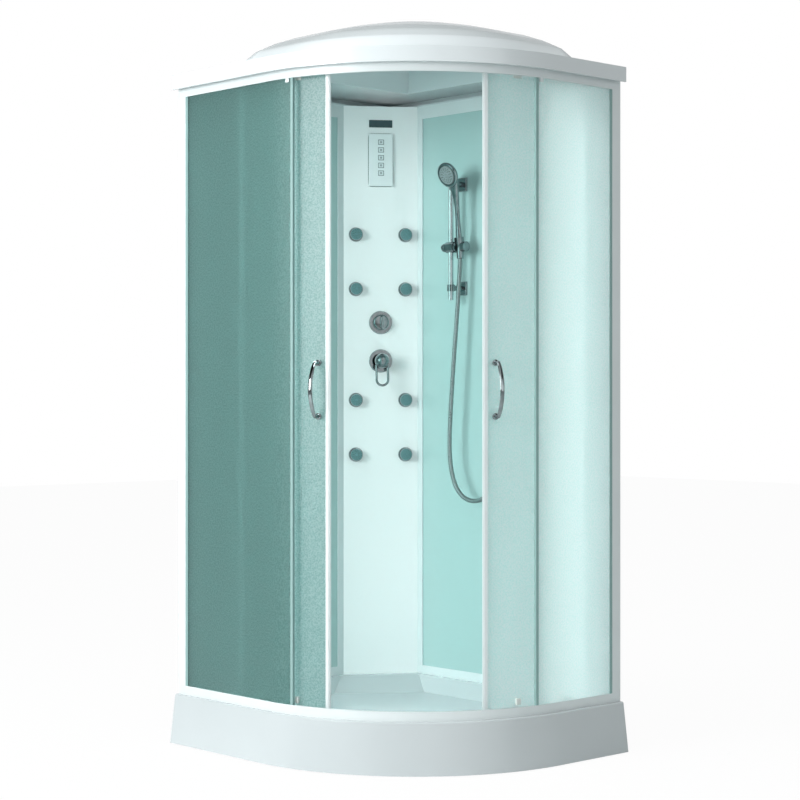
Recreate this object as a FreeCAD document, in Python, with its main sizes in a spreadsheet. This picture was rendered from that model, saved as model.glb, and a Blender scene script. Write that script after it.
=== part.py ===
import FreeCAD, Part
import math
import os
import re
from types import SimpleNamespace

import Sketcher
from FreeCAD import Placement, Rotation, Vector

# A quadrant shower cabin with unequal sides.
# Everything is laid out in a corner frame, in millimetres: the origin is the room corner on the floor,
# x runs out from the back wall, y runs out from the side wall, and z is up.
# The corner frame is then turned and moved so that the origin of the part is under its middle.

SIZES = {
    # Plan of the frame
    "frame_width": 836.0,
    "frame_length": 970.0,
    "front_radius": 550.0,
    # Tray
    "rim_height": 143.0,
    "rim_outset": 12.0,
    "rim_round": 5.0,
    "skirt_flare": 30.0,
    "skirt_gap": 3.0,
    "shell_wall": 5.0,
    "basin_depth": 48.0,
    "basin_front_inset": 66.0,
    "basin_wall_inset": 58.0,
    "basin_slope": 26.0,
    "basin_column_gap": 22.0,
    # Rails of the front
    "rail_wall": 2.0,
    "rail_depth": 26.5,
    "rail_height": 26.0,
    "header_height": 35.0,
    "header_bottom": 1879.0,
    "slot_width": 6.0,
    "slot_wall": 1.5,
    "header_slot_depth": 12.0,
    "rail_slot_depth": 8.0,
    "lip_height": 6.0,
    # Posts at the walls
    "post_width": 34.0,
    "post_depth": 43.0,
    "post_wall": 2.0,
    "post_channel": 12.0,
    # Fixed glass
    "glass_thickness": 5.0,
    "glass_margin": 0.5,
    "left_fixed_angle": 9.1,
    "right_fixed_angle": 5.7,
    "gasket_width": 10.0,
    "gasket_thickness": 1.5,
    "strip_angle": 0.9,
    "strip_grip_angle": 0.45,
    "strip_wall": 1.2,
    "clip_angle": 1.4,
    "clip_setback_angle": 2.4,
    "clip_height": 11.0,
    "clip_depth": 2.0,
    # Doors
    "door_glass_inset": 22.0,
    "door_span_angle": 38.0,
    "door_glass_start_angle": 0.6,
    "door_edge_angle": 1.0,
    "door_edge_depth": 12.0,
    "door_edge_play": 0.3,
    "magnet_angle": 0.35,
    "magnet_depth": 7.0,
    "door_seal_angle": 0.5,
    "door_seal_wall": 1.4,
    "door_seal_reach": 9.0,
    "door_meeting_angle": 45.0,
    "door_meeting_gap_angle": 0.03,
    "door_open_angle": 16.5,
    "door_stop_gap": 50.0,
    "door_head_gap": 2.0,
    "door_foot_gap": 2.0,
    # Door runners
    "leading_runner_reach": 105.0,
    "trailing_runner_reach": 245.0,
    "track_inset": 17.0,
    "wheel_radius": 9.0,
    "wheel_width": 6.0,
    "wheel_lift": 0.1,
    "wheel_play": 0.05,
    "axle_radius": 2.5,
    "axle_head_radius": 4.5,
    "axle_head_height": 1.2,
    "axle_head_gap": 0.3,
    "hanger_width": 24.0,
    "hanger_plate": 3.0,
    "hanger_gap": 4.0,
    "hanger_rise": 27.0,
    "hanger_drop": 5.0,
    "saddle_wall": 1.5,
    "saddle_play": 0.3,
    "saddle_cap": 1.4,
    "shoe_length": 20.0,
    "shoe_width": 8.0,
    "shoe_lift": 2.0,
    "shoe_height": 10.0,
    "guide_arm_width": 8.0,
    "guide_arm_height": 5.0,
    "guide_plate": 3.0,
    "guide_gap": 6.0,
    "guide_width": 13.0,
    "guide_cap_low": 30.0,
    "guide_cap_height": 17.0,
    "guide_cap_depth": 7.5,
    "guide_stem_radius": 4.0,
    "guide_washer_radius": 7.0,
    # Door handles
    "handle_angle": 3.9,
    "handle_low": 956.0,
    "handle_spacing": 145.0,
    "handle_overhang": 5.0,
    "handle_end_reach": 22.0,
    "handle_bow_reach": 49.0,
    "handle_width": 12.0,
    "handle_thickness": 5.5,
    "handle_post_radius": 4.5,
    "handle_collar_radius": 9.0,
    "handle_collar_height": 3.5,
    "hole_play": 0.3,
    # Wall panels
    "wall_inset": 43.0,
    "wall_bar_foot": 26.0,
    "wall_bar_head": 39.0,
    "wall_stile": 23.0,
    "wall_bar_depth": 30.0,
    "wall_glass_thickness": 4.0,
    "wall_glass_recess": 3.0,
    "wall_glass_gap": 0.3,
    "wall_glass_lap": 10.0,
    # Corner column
    "column_side_reach": 234.5,
    "column_back_reach": 175.0,
    "column_wall": 4.0,
    # Body jets
    "jet_offset": 78.0,
    "jet_low": 827.0,
    "jet_pitch": 170.0,
    "jet_group_pitch": 516.0,
    "jet_ring_radius": 22.5,
    "jet_ring_height": 6.0,
    "jet_ring_edge": 2.0,
    "jet_ball_radius": 10.0,
    "jet_ball_gap": 0.3,
    "jet_ball_rise": 3.0,
    "jet_neck_radius": 6.0,
    "jet_head_radius": 19.0,
    "jet_head_height": 9.0,
    "jet_head_rise": 11.0,
    "jet_hole_radius": 2.5,
    "jet_tail_radius": 13.0,
    "jet_tail_length": 22.0,
    "jet_nut_radius": 17.0,
    "jet_nut_height": 7.0,
    "fitting_gap": 0.3,
    # Pipes behind the column
    "pipe_radius": 8.0,
    "branch_radius": 6.5,
    "riser_setback": 30.0,
    "feed_radius": 5.0,
    "feed_setback": 6.5,
    # Diverter
    "diverter_height": 1239.0,
    "plate_radius": 36.5,
    "plate_height": 6.0,
    "plate_edge": 2.5,
    "diverter_knob_radius": 25.0,
    "diverter_knob_height": 14.0,
    "diverter_grip_width": 10.0,
    "diverter_grip_rise": 13.0,
    "diverter_grip_length": 46.0,
    "valve_radius": 20.0,
    "valve_depth": 44.0,
    "stem_radius": 6.0,
    "stem_play": 0.05,
    "stem_reach": 16.0,
    # Mixer
    "mixer_height": 1119.0,
    "mixer_collar_radius": 17.0,
    "mixer_collar_height": 8.0,
    "mixer_neck_radius": 9.0,
    "mixer_dome_radius": 23.5,
    "mixer_dome_wall": 4.0,
    "mixer_dome_rise": 36.0,
    "mixer_dome_skirt": 6.0,
    "mixer_pin_radius": 3.0,
    "mixer_pin_play": 0.05,
    "lever_half_width": 18.0,
    "lever_reach": 80.0,
    "lever_rod_radius": 3.6,
    "lever_root_drop": 13.0,
    "lever_splay": 6.0,
    "inlet_spacing": 60.0,
    "inlet_radius": 10.48,
    "inlet_length": 16.0,
    "inlet_neck_radius": 6.5,
    "inlet_neck_length": 22.0,
    # Control panel
    "panel_height": 1746.0,
    "panel_width": 76.0,
    "panel_length": 164.0,
    "panel_depth": 9.0,
    "panel_edge": 2.5,
    "panel_back_width": 56.0,
    "panel_back_length": 130.0,
    "panel_back_depth": 32.0,
    "panel_cut_play": 1.0,
    "key_width": 19.0,
    "key_length": 17.0,
    "key_rise": 1.2,
    "key_sink": 1.0,
    "key_gap": 0.1,
    "key_pitch": 24.1,
    "key_top_rise": 55.0,
    "badge_height": 1859.5,
    "badge_width": 73.0,
    "badge_length": 23.0,
    "badge_depth": 2.0,
    # Hand shower
    "slide_rail_offset": 375.0,
    "slide_rail_out": 91.5,
    "slide_rail_radius": 8.0,
    "slide_rail_bottom": 1301.0,
    "slide_rail_length": 389.0,
    "bracket_base_width": 38.0,
    "bracket_base_height": 42.0,
    "bracket_base_depth": 7.0,
    "bracket_arm_radius": 8.0,
    "bracket_eye_radius": 12.0,
    "bracket_eye_height": 20.0,
    "bracket_low_height": 1338.0,
    "bracket_high_height": 1655.0,
    "slider_height": 1461.0,
    "slider_radius": 17.0,
    "slider_left_reach": 15.0,
    "slider_right_reach": 20.0,
    "slider_play": 0.3,
    "slider_knob_radius": 13.0,
    "slider_knob_offset": 26.0,
    "cradle_offset": 40.0,
    "cradle_gap": 0.4,
    "cradle_pin_radius": 5.0,
    "cradle_pin_play": 0.05,
    "cradle_pin_length": 8.0,
    "cradle_radius": 15.0,
    "cradle_foot": 5.0,
    "cradle_length": 24.0,
    "cradle_mouth": 15.0,
    "cradle_play": 0.3,
    "cradle_well_play": 0.9,
    "cradle_cap_radius": 15.0,
    "cradle_cap_length": 12.0,
    "handset_lean_angle": 12.5,
    "handset_reach": 218.0,
    "handset_ball_radius": 8.5,
    "handset_root_low": 9.4,
    "handset_root_high": 11.0,
    "handset_neck_radius": 7.5,
    "handset_neck_rise": 120.0,
    "handset_throat_radius": 12.0,
    "handset_head_radius": 39.0,
    "handset_head_depth": 22.0,
    "handset_back_radius": 27.0,
    "handset_face_radius": 29.0,
    "handset_face_depth": 5.0,
    "handset_face_rise": 2.0,
    "handset_face_gap": 0.3,
    "handset_tilt_angle": 22.0,
    "hose_nut_length": 36.0,
    "hose_nut_radius": 10.5,
    "hose_nut_lip": 2.0,
    "hose_radius": 7.0,
    "hose_end_length": 20.0,
    "outlet_offset": 592.0,
    "outlet_height": 1300.0,
    "outlet_base_radius": 27.0,
    "outlet_base_depth": 6.0,
    "outlet_body_radius": 11.0,
    "outlet_out": 44.0,
    "outlet_nut_radius": 11.5,
    "outlet_nut_length": 18.0,
    # Waste
    "waste_reach": 260.0,
    "waste_hole_radius": 45.0,
    "waste_flange_radius": 56.0,
    "waste_flange_depth": 2.5,
    "waste_cup_radius": 43.0,
    "waste_cup_depth": 62.0,
    "waste_wall": 3.0,
    "waste_spigot_radius": 20.0,
    "waste_spigot_length": 25.0,
    "waste_cover_radius": 54.0,
    "waste_cover_height": 8.0,
    "waste_cover_gap": 5.0,
    "waste_leg_radius": 3.5,
    "waste_leg_reach": 47.0,
    # Underframe
    "frame_tube": 30.0,
    "frame_back_offset": 130.0,
    "frame_front_gap": 90.0,
    "frame_side_offset": 110.0,
    "frame_cross_gap": 66.0,
    "frame_far_inset": 180.0,
    "foot_radius": 24.0,
    "foot_height": 9.0,
    "foot_stud_radius": 6.0,
    "foot_nut_radius": 10.5,
    "foot_nut_height": 8.0,
    # Screws in the posts
    "screw_radius": 2.1,
    "screw_head_radius": 4.2,
    "screw_head_height": 2.4,
    "screw_length": 10.0,
    "screw_end_offset": 90.0,
    # Roof
    "roof_lip_bottom": 1901.0,
    "roof_lip_top": 1943.0,
    "roof_overhang": 22.0,
    "roof_wall": 5.0,
    "dome_front_inset": 36.0,
    "dome_crown_radius": 84.0,
    "roof_top": 2100.0,
    # Spare length of every cutting tool
    "overrun": 4.0,
}

os.makedirs("parts", exist_ok=True)
doc = FreeCAD.newDocument("shower_cabin")
sheet = doc.addObject("Spreadsheet::Sheet", "Sizes")
for row, (alias, amount) in enumerate(SIZES.items(), start=1):
    sheet.set(f"A{row}", alias)
    sheet.set(f"B{row}", str(amount))
    sheet.setAlias(f"B{row}", alias)
doc.recompute()
mm = SimpleNamespace(**{alias: float(sheet.get(alias)) for alias in SIZES})

UP = Vector(0, 0, 1)
ALONG_X = Rotation(Vector(0, 1, 0), 90)
ALONG_Y = Rotation(Vector(1, 0, 0), -90)
PARTS = {}


def bound(formula):
    """The formula with each size named in it read from the sheet."""
    return re.sub(r"[a-z_]+", lambda m: f"Sizes.{m[0]}" if m[0] in SIZES else m[0], formula)


def bind(thing, **formulas):
    """Ties properties of an object to formulas of the sheet's sizes."""
    for name, formula in formulas.items():
        thing.setExpression(name.replace("__", "."), bound(formula))


def primitive(kind, name, at, turn, **formulas):
    """A primitive whose sizes and place follow the sheet."""
    thing = doc.addObject(kind, name)
    thing.Placement = Placement(Vector(), turn or Rotation())
    bind(thing, **formulas)
    for axis, formula in zip("xyz", at):
        thing.setExpression(f"Placement.Base.{axis}", bound(formula))
    return thing


def box(name, length, width, height, at=("0", "0", "0"), turn=None):
    return primitive("Part::Box", name, at, turn, Length=length, Width=width, Height=height)


def rod(name, radius, height, at=("0", "0", "0"), turn=None):
    return primitive("Part::Cylinder", name, at, turn, Radius=radius, Height=height)


def cone(name, low, high, height, at=("0", "0", "0"), turn=None):
    return primitive("Part::Cone", name, at, turn, Radius1=low, Radius2=high, Height=height)


def ball(name, radius, at=("0", "0", "0")):
    return primitive("Part::Sphere", name, at, None, Radius=radius)


def joined(name, pieces):
    """One solid made of overlapping pieces."""
    thing = doc.addObject("Part::MultiFuse", name)
    thing.Shapes = pieces
    thing.Refine = True
    return thing


def grouped(name, pieces):
    """Separate solids that share a node."""
    thing = doc.addObject("Part::Compound", name)
    thing.Links = pieces
    return thing


def cut(name, base, tools):
    """A piece with one or more tools taken out of it."""
    thing = doc.addObject("Part::Cut", name)
    thing.Base = base
    thing.Tool = tools[0] if len(tools) == 1 else joined(f"{name}_tools", tools)
    thing.Refine = True
    return thing


def shaped(name, shape):
    """A piece whose form is worked out from the sheet's sizes in Python."""
    thing = doc.addObject("Part::Feature", name)
    thing.Shape = shape
    return thing


def finished(label, thing, place):
    """Registers a sub-part under its label, at its place in the cabin."""
    if thing.TypeId in ("Part::Box", "Part::Cylinder"):
        thing = grouped(f"{thing.Name}Part", [thing])
    thing.Label = label
    thing.Placement = place
    PARTS[label] = thing
    return thing


def turned(degrees, axis=UP):
    return Rotation(axis, degrees)


# Places that the sub-parts are built in
CORNER = Placement(
    Vector(-(mm.frame_length + mm.skirt_flare) / 2, (mm.frame_width + mm.skirt_flare) / 2, 0), turned(-90)
)
ARC_X = "frame_width - front_radius"
ARC_Y = "frame_length - front_radius"
ARC = Placement(Vector(mm.frame_width - mm.front_radius, mm.frame_length - mm.front_radius, 0), Rotation())

COLUMN_LEFT = Vector(mm.column_side_reach, mm.wall_inset, 0)
COLUMN_RIGHT = Vector(mm.wall_inset, mm.column_back_reach, 0)
COLUMN_ACROSS = (COLUMN_RIGHT - COLUMN_LEFT).normalize()
COLUMN_OUT = COLUMN_ACROSS.cross(UP)
COLUMN = Placement((COLUMN_LEFT + COLUMN_RIGHT) * 0.5, Rotation(COLUMN_OUT, COLUMN_ACROSS, UP, "XYZ"))

HEADER_TOP = "header_bottom + header_height"
RAIL_TOP = "rim_height + rail_height"


# Sketches
def sketch_on(body, name, plane, offset):
    """An empty sketch on one of the body's origin planes, moved along its normal."""
    sketch = body.newObject("Sketcher::SketchObject", name)
    origin_plane = next(f for f in body.Origin.OriginFeatures if f.Role == plane)
    sketch.AttachmentSupport = [(origin_plane, "")]
    sketch.MapMode = "FlatFace"
    sketch.setExpression("AttachmentOffset.Base.z", bound(offset))
    return sketch


def hold(sketch, kind, geometry, point, name, formula):
    """A distance from the sketch's origin, or a radius, that follows the sheet."""
    amount = sheet.evalExpression(bound(formula))
    if kind == "Radius":
        index = sketch.addConstraint(Sketcher.Constraint(kind, geometry, amount))
    else:
        index = sketch.addConstraint(Sketcher.Constraint(kind, -1, 1, geometry, point, amount))
    sketch.renameConstraint(index, name)
    sketch.setExpression(f"Constraints.{name}", bound(formula))


def number(formula):
    return float(sheet.evalExpression(bound(formula)))


def plan_outline(body, name, height, front, back, side, column=None):
    """The plan of the cabin: straight, quarter arc, straight, and the two wall sides.

    front, back and side are how far the outline stands in from the frame. column gives the reach
    of a slanted corner along the side wall and along the back wall.
    """
    sketch = sketch_on(body, name, "XY_Plane", height)
    inset, back_in, side_in = number(front), number(back), number(side)
    far_x, far_y = mm.frame_width - inset, mm.frame_length - inset
    middle = Vector(mm.frame_width - mm.front_radius, mm.frame_length - mm.front_radius, 0)
    start = Vector(number(column[0]) if column else back_in, side_in, 0)
    end = Vector(back_in, number(column[1]) if column else side_in, 0)
    circle = Part.Circle(middle, UP, mm.front_radius - inset)
    edges = [
        Part.LineSegment(start, Vector(far_x, side_in, 0)),
        Part.LineSegment(Vector(far_x, side_in, 0), Vector(far_x, middle.y, 0)),
        Part.ArcOfCircle(circle, 0, math.pi / 2),
        Part.LineSegment(Vector(middle.x, far_y, 0), Vector(back_in, far_y, 0)),
        Part.LineSegment(Vector(back_in, far_y, 0), end),
    ]
    if column:
        edges.append(Part.LineSegment(end, start))
    sketch.addGeometry(edges, False)
    for first in range(len(edges)):
        second = (first + 1) % len(edges)
        if first in (1, 2):
            sketch.addConstraint(Sketcher.Constraint("Tangent", first, 2, second, 1))
        else:
            sketch.addConstraint(Sketcher.Constraint("Coincident", first, 2, second, 1))
    for line, kind in ((0, "Horizontal"), (1, "Vertical"), (3, "Horizontal"), (4, "Vertical")):
        sketch.addConstraint(Sketcher.Constraint(kind, line))
    hold(sketch, "DistanceX", 2, 3, "arc_x", ARC_X)
    hold(sketch, "DistanceY", 2, 3, "arc_y", ARC_Y)
    hold(sketch, "Radius", 2, 0, "arc_radius", f"front_radius - ({front})")
    hold(sketch, "DistanceY", 0, 1, "side", side)
    hold(sketch, "DistanceX", 4, 1, "back", back)
    if column:
        hold(sketch, "DistanceX", 0, 1, "column_side", column[0])
        hold(sketch, "DistanceY", 5, 1, "column_back", column[1])
    return sketch


def polygon_sketch(body, name, plane, offset, corners):
    """A closed outline of straight edges whose corners follow formulas."""
    sketch = sketch_on(body, name, plane, offset)
    points = [Vector(number(across), number(up), 0) for across, up in corners]
    count = len(points)
    sketch.addGeometry([Part.LineSegment(points[i], points[(i + 1) % count]) for i in range(count)], False)
    for i in range(count):
        sketch.addConstraint(Sketcher.Constraint("Coincident", i, 2, (i + 1) % count, 1))
    for i, (across, up) in enumerate(corners):
        hold(sketch, "DistanceX", i, 1, f"across_{i}", across)
        hold(sketch, "DistanceY", i, 1, f"up_{i}", up)
    return sketch


def loft(body, name, kind, sections, ruled=True):
    """A loft through two or more sketches, added to the body or taken from it."""
    thing = body.newObject(f"PartDesign::{kind}Loft", name)
    thing.Profile = sections[0]
    thing.Sections = sections[1:]
    thing.Ruled = ruled
    return thing


def sector(name, inner, outer, height, low, start, sweep):
    """A stretch of ring round the arc's centre; start and sweep are angles."""
    at = ("0", "0", low)
    whole = rod(f"{name}_outer", outer, height, at, turned(number(start)))
    core = rod(f"{name}_inner", inner, f"({height}) + 2 * overrun", ("0", "0", f"{low} - overrun"))
    bind(whole, Angle=sweep)
    return cut(name, whole, [core])


def hexagon(name, radius, height, at, turn=None):
    """A six-sided prism, such as a nut."""
    prism = primitive("Part::Prism", name, at, turn, Circumradius=radius, Height=height)
    prism.Polygon = 6
    return prism


def rounded(name, base, radius, edges):
    """Rounds the edges of a primitive that the test picks."""
    doc.recompute()
    thing = doc.addObject("Part::Fillet", name)
    thing.Base = base
    amount = number(radius)
    thing.Edges = [(i, amount, amount) for i, edge in enumerate(base.Shape.Edges, start=1) if edges(edge)]
    return thing


# Small excesses of cutting tools, as shares of a wall and of a play.
SLIVER_SHARE, PLAY_SHARE = 0.01, 0.1


# Tray
# The round of the rim: how far below the top, and how far in from its outer face, as shares of the round.
RIM_ROUND_SHARES = ((1.0, 0.0), (0.62, 0.07), (0.29, 0.29), (0.07, 0.62), (0.0, 1.0))


def tray_shell():
    """The acrylic tray: flared skirt, flat rim and sunken basin, all one thin shell."""
    body = doc.addObject("PartDesign::Body", "TrayShell")
    foot = plan_outline(body, "SkirtFoot", "skirt_gap", "0 - skirt_flare", "0", "0")
    skirt = [foot]
    for i, (down, inward) in enumerate(RIM_ROUND_SHARES):
        skirt.append(plan_outline(
            body, f"SkirtRim{i}", f"rim_height - {down} * rim_round", f"{inward} * rim_round - rim_outset",
            "0", "0"))
    loft(body, "Skirt", "Additive", skirt)
    doc.recompute()
    wall = "shell_wall"
    hollow = [
        plan_outline(body, "HollowFoot", "skirt_gap - overrun", f"{wall} - skirt_flare", wall, wall),
        plan_outline(body, "HollowTop", f"rim_height - {wall}", f"{wall} - rim_outset", wall, wall),
    ]
    loft(body, "Hollow", "Subtractive", hollow)
    doc.recompute()

    def basin(name, low, high, thickness):
        """Two outlines of the basin; its floor is drawn in by the slope of its sides."""
        sections = []
        for level, height, slope in (("Floor", low, "basin_slope"), ("Rim", high, "0")):
            draw = f"{slope} - {thickness}"
            sections.append(
                plan_outline(
                    body, f"{name}{level}", height,
                    f"basin_front_inset + {draw}", f"basin_wall_inset + {draw}",
                    f"basin_wall_inset + {draw}",
                    (f"column_side_reach + basin_column_gap + 2 * ({draw})",
                     f"column_back_reach + basin_column_gap + 2 * ({draw})"),
                )
            )
        return sections

    floor = "rim_height - basin_depth"
    loft(body, "BasinOuter", "Additive", basin("Outer", f"{floor} - {wall}", "rim_height", wall))
    doc.recompute()
    loft(body, "Basin", "Subtractive", basin("Inner", floor, f"rim_height + {wall} * {SLIVER_SHARE}", "0"))
    doc.recompute()
    spot = WASTE_SPOT
    hole = sketch_on(body, "WasteHole", "XY_Plane", floor)
    hole.addGeometry(Part.Circle(Vector(number(spot[0]), number(spot[1]), 0), UP, mm.waste_hole_radius),
                     False)
    hold(hole, "DistanceX", 0, 3, "hole_x", spot[0])
    hold(hole, "DistanceY", 0, 3, "hole_y", spot[1])
    hold(hole, "Radius", 0, 0, "hole_radius", "waste_hole_radius")
    pocket = body.newObject("PartDesign::Pocket", "WastePocket")
    pocket.Profile = hole
    pocket.Midplane = True
    bind(pocket, Length=f"4 * {wall}")
    finished("tray_shell", body, CORNER)


# The top of a coned cap, as a share of its foot.
CROWN_SHARE = 0.8

WASTE_SPOT = (f"{ARC_X} + waste_reach / sqrt(2)", f"{ARC_Y} + waste_reach / sqrt(2)")


def waste():
    """The waste: flange and trap cup under the tray, and the loose cover above it."""
    floor = "rim_height - basin_depth"
    top = f"{floor} + waste_flange_depth"
    bottom = f"{floor} - waste_cup_depth"
    place = CORNER.multiply(Placement(Vector(number(WASTE_SPOT[0]), number(WASTE_SPOT[1]), 0), turned(45)))
    solid = joined("WasteSolid", [
        rod("WasteFlange", "waste_flange_radius", "waste_flange_depth", ("0", "0", floor)),
        rod("WasteCup", "waste_cup_radius", "waste_cup_depth + waste_flange_depth", ("0", "0", bottom)),
        rod("WasteSpigot", "waste_spigot_radius", "waste_spigot_length + waste_wall",
            ("0", "0", f"{bottom} - waste_spigot_length")),
    ])
    bores = [
        rod("WasteBore", "waste_cup_radius - waste_wall", "waste_cup_depth + overrun",
            ("0", "0", f"{bottom} + waste_wall")),
        rod("WasteSpigotBore", "waste_spigot_radius - waste_wall",
            "waste_spigot_length + waste_wall + 2 * overrun",
            ("0", "0", f"{bottom} - waste_spigot_length - overrun")),
    ]
    finished("waste_trap", cut("WasteTrap", solid, bores), place)

    base = f"{top} + waste_cover_gap"
    pieces = [cone("CoverDome", "waste_cover_radius", f"waste_cover_radius * {CROWN_SHARE}",
                   "waste_cover_height",
                   ("0", "0", base))]
    for i in range(3):
        angle = 2 * math.pi * i / 3
        pieces.append(
            rod(f"CoverLeg{i}", "waste_leg_radius",
                "waste_cover_gap + waste_cover_height / 2 - fitting_gap",
                (f"waste_leg_reach * {math.cos(angle)}", f"waste_leg_reach * {math.sin(angle)}",
                 f"{top} + fitting_gap"))
        )
    finished("waste_cover", joined("WasteCover", pieces), place)


def underframe():
    """The welded tubes that carry the tray, and the five screw feet under them."""
    low = "rim_height - basin_depth - shell_wall - frame_tube"
    tube = "frame_tube"
    front = f"({WASTE_SPOT[0]} + frame_front_gap)"
    cross = f"({WASTE_SPOT[1]} + frame_cross_gap)"
    far = "(frame_length - frame_far_inset)"
    inner = f"frame_back_offset + {tube}"
    span = f"{front} - frame_back_offset - {tube}"
    bars = (
        ("FrameBack", tube, f"{far} - frame_side_offset", "frame_back_offset", "frame_side_offset"),
        ("FrameFront", tube, f"{cross} + {tube} - frame_side_offset", front, "frame_side_offset"),
        ("FrameSide", span, tube, inner, "frame_side_offset"),
        ("FrameCross", span, tube, inner, cross),
    )
    tubes = [box(name, length, width, tube, (x, y, low)) for name, length, width, x, y in bars]
    finished("tray_frame", joined("TrayFrame", tubes), CORNER)

    back, ahead = f"frame_back_offset + {tube} / 2", f"{front} + {tube} / 2"
    first, middle = f"frame_side_offset + {tube} / 2", f"(frame_side_offset + {far}) / 2"
    spots = (
        (back, first), (back, middle), (back, f"{far} - {tube} / 2"),
        (ahead, first), (ahead, f"{cross} + {tube} / 2"),
    )
    feet = []
    for i, (x, y) in enumerate(spots):
        feet.append(joined(f"Foot{i}", [
            cone(f"FootPad{i}", "foot_radius", f"foot_radius * {CROWN_SHARE}", "foot_height", (x, y, "0")),
            rod(f"FootStud{i}", "foot_stud_radius", low, (x, y, "0")),
            hexagon(f"FootNut{i}", "foot_nut_radius", "foot_nut_height",
                    (x, y, f"{low} - foot_nut_height")),
        ]))
    finished("tray_feet", grouped("TrayFeet", feet), CORNER)


# Front frame
def front_rail(name, label, base, profile):
    """A rail that runs from post to post round the front, with the same section all the way.

    The profile's corners are how far in from the outer face, and how far up from the base.
    """
    body = doc.addObject("PartDesign::Body", name)
    path = sketch_on(body, f"{name}Path", "XY_Plane", "0")
    middle = Vector(number(ARC_X), number(ARC_Y), 0)
    path.addGeometry([
        Part.LineSegment(Vector(mm.frame_width, mm.post_width, 0), Vector(mm.frame_width, middle.y, 0)),
        Part.ArcOfCircle(Part.Circle(middle, UP, mm.front_radius), 0, math.pi / 2),
        Part.LineSegment(Vector(middle.x, mm.frame_length, 0), Vector(mm.post_width, mm.frame_length, 0)),
    ], False)
    path.addConstraint(Sketcher.Constraint("Tangent", 0, 2, 1, 1))
    path.addConstraint(Sketcher.Constraint("Tangent", 1, 2, 2, 1))
    hold(path, "DistanceX", 1, 3, "arc_x", ARC_X)
    hold(path, "DistanceY", 1, 3, "arc_y", ARC_Y)
    hold(path, "Radius", 1, 0, "arc_radius", "front_radius")
    hold(path, "DistanceY", 0, 1, "start", "post_width")
    hold(path, "DistanceX", 2, 2, "end", "post_width")
    path.addConstraint(Sketcher.Constraint("Vertical", 0))
    path.addConstraint(Sketcher.Constraint("Horizontal", 2))
    corners = [(f"frame_width - ({inward})", f"{base} + {up}") for inward, up in profile]
    section = polygon_sketch(body, f"{name}Section", "XZ_Plane", "-post_width", corners)
    pipe = body.newObject("PartDesign::AdditivePipe", f"{name}Pipe")
    pipe.Profile = section
    pipe.Spine = (path, ["Edge1", "Edge2", "Edge3"])
    finished(label, body, CORNER)


def front_rails():
    """The header that the doors hang from, and the rail on the tray that guides them."""
    wall, depth = "rail_wall", "rail_depth"
    slot = f"{wall} + slot_width"
    step = f"{slot} + slot_wall"
    web = f"header_slot_depth + {wall}"
    front_rail("Header", "header_rail", "header_bottom", (
        ("0", "0"), (wall, "0"), (wall, "header_slot_depth"), (slot, "header_slot_depth"), (slot, "0"),
        (step, "0"), (step, "header_slot_depth"), (depth, "header_slot_depth"),
        (depth, f"{web} + lip_height"),
        (f"{depth} - {wall}", f"{web} + lip_height"), (f"{depth} - {wall}", web), (wall, web),
        (wall, f"header_height - {wall}"), (depth, f"header_height - {wall}"), (depth, "header_height"),
        ("0", "header_height"),
    ))
    floor = "rail_height - rail_slot_depth"
    under = f"{floor} - {wall}"
    front_rail("Rail", "bottom_rail", "rim_height", (
        ("0", "rail_height"), (wall, "rail_height"), (wall, floor), (slot, floor), (slot, "rail_height"),
        (step, "rail_height"), (step, floor), (depth, floor), (depth, f"{under} - lip_height"),
        (f"{depth} - {wall}", f"{under} - lip_height"), (f"{depth} - {wall}", under), (wall, under),
        (wall, wall), (depth, wall), (depth, "0"), ("0", "0"),
    ))


POST_SCREWS = ("screw_end_offset", f"({HEADER_TOP} - rim_height) / 2",
               f"{HEADER_TOP} - rim_height - screw_end_offset")


def wall_box(across, name, length, width, height, at):
    """A box at the back wall, or across, at the side wall, where x and y change places."""
    if across:
        return box(name, width, length, height, (at[1], at[0], at[2]))
    return box(name, length, width, height, at)


def wall_rod(across, name, radius, height, at):
    """A rod along x at the back wall, or across, along y at the side wall."""
    if across:
        return rod(name, radius, height, (at[1], at[0], at[2]), ALONG_Y)
    return rod(name, radius, height, at, ALONG_X)


def posts():
    """The two hollow posts that close the front at the walls, with the screws in them."""
    wall = "post_wall"
    height = f"{HEADER_TOP} - rim_height"
    tall = f"{height} + 2 * overrun"
    low = "rim_height - overrun"
    cavity = f"post_depth - {wall} - rail_wall - slot_width - slot_wall"
    screws = []
    for across, label, far in ((True, "wall_post_side", "frame_width"),
                               (False, "wall_post_back", "frame_length")):
        start = f"{far} - post_depth"
        spot = f"{start} + {wall} + ({cavity}) / 2"
        tools = [
            wall_box(across, f"{label}_cavity", f"post_width - 2 * {wall}", cavity, tall,
                     (wall, f"{start} + {wall}", low)),
            wall_box(across, f"{label}_slot", "post_channel + overrun", "slot_width", tall,
                     ("post_width - post_channel", f"{far} - rail_wall - slot_width", low)),
        ]
        for i, up in enumerate(POST_SCREWS):
            z = f"rim_height + {up}"
            tools.append(wall_rod(across, f"{label}_hole{i}", "screw_radius + hole_play",
                                  f"{wall} + 2 * overrun",
                                  (f"post_width - {wall} - overrun", spot, z)))
            screws.append(joined(f"{label}_screw{i}", [
                wall_rod(across, f"{label}_head{i}", "screw_head_radius", "screw_head_height",
                         ("post_width", spot, z)),
                wall_rod(across, f"{label}_shank{i}", "screw_radius", "screw_length",
                         ("post_width - screw_length", spot, z)),
            ]))
        outer = wall_box(across, f"{label}_outer", "post_width", "post_depth", height,
                         ("0", start, "rim_height"))
        finished(label, cut(f"{label}_cut", outer, tools), CORNER)
    finished("frame_screws", grouped("FrameScrews", screws), CORNER)


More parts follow.
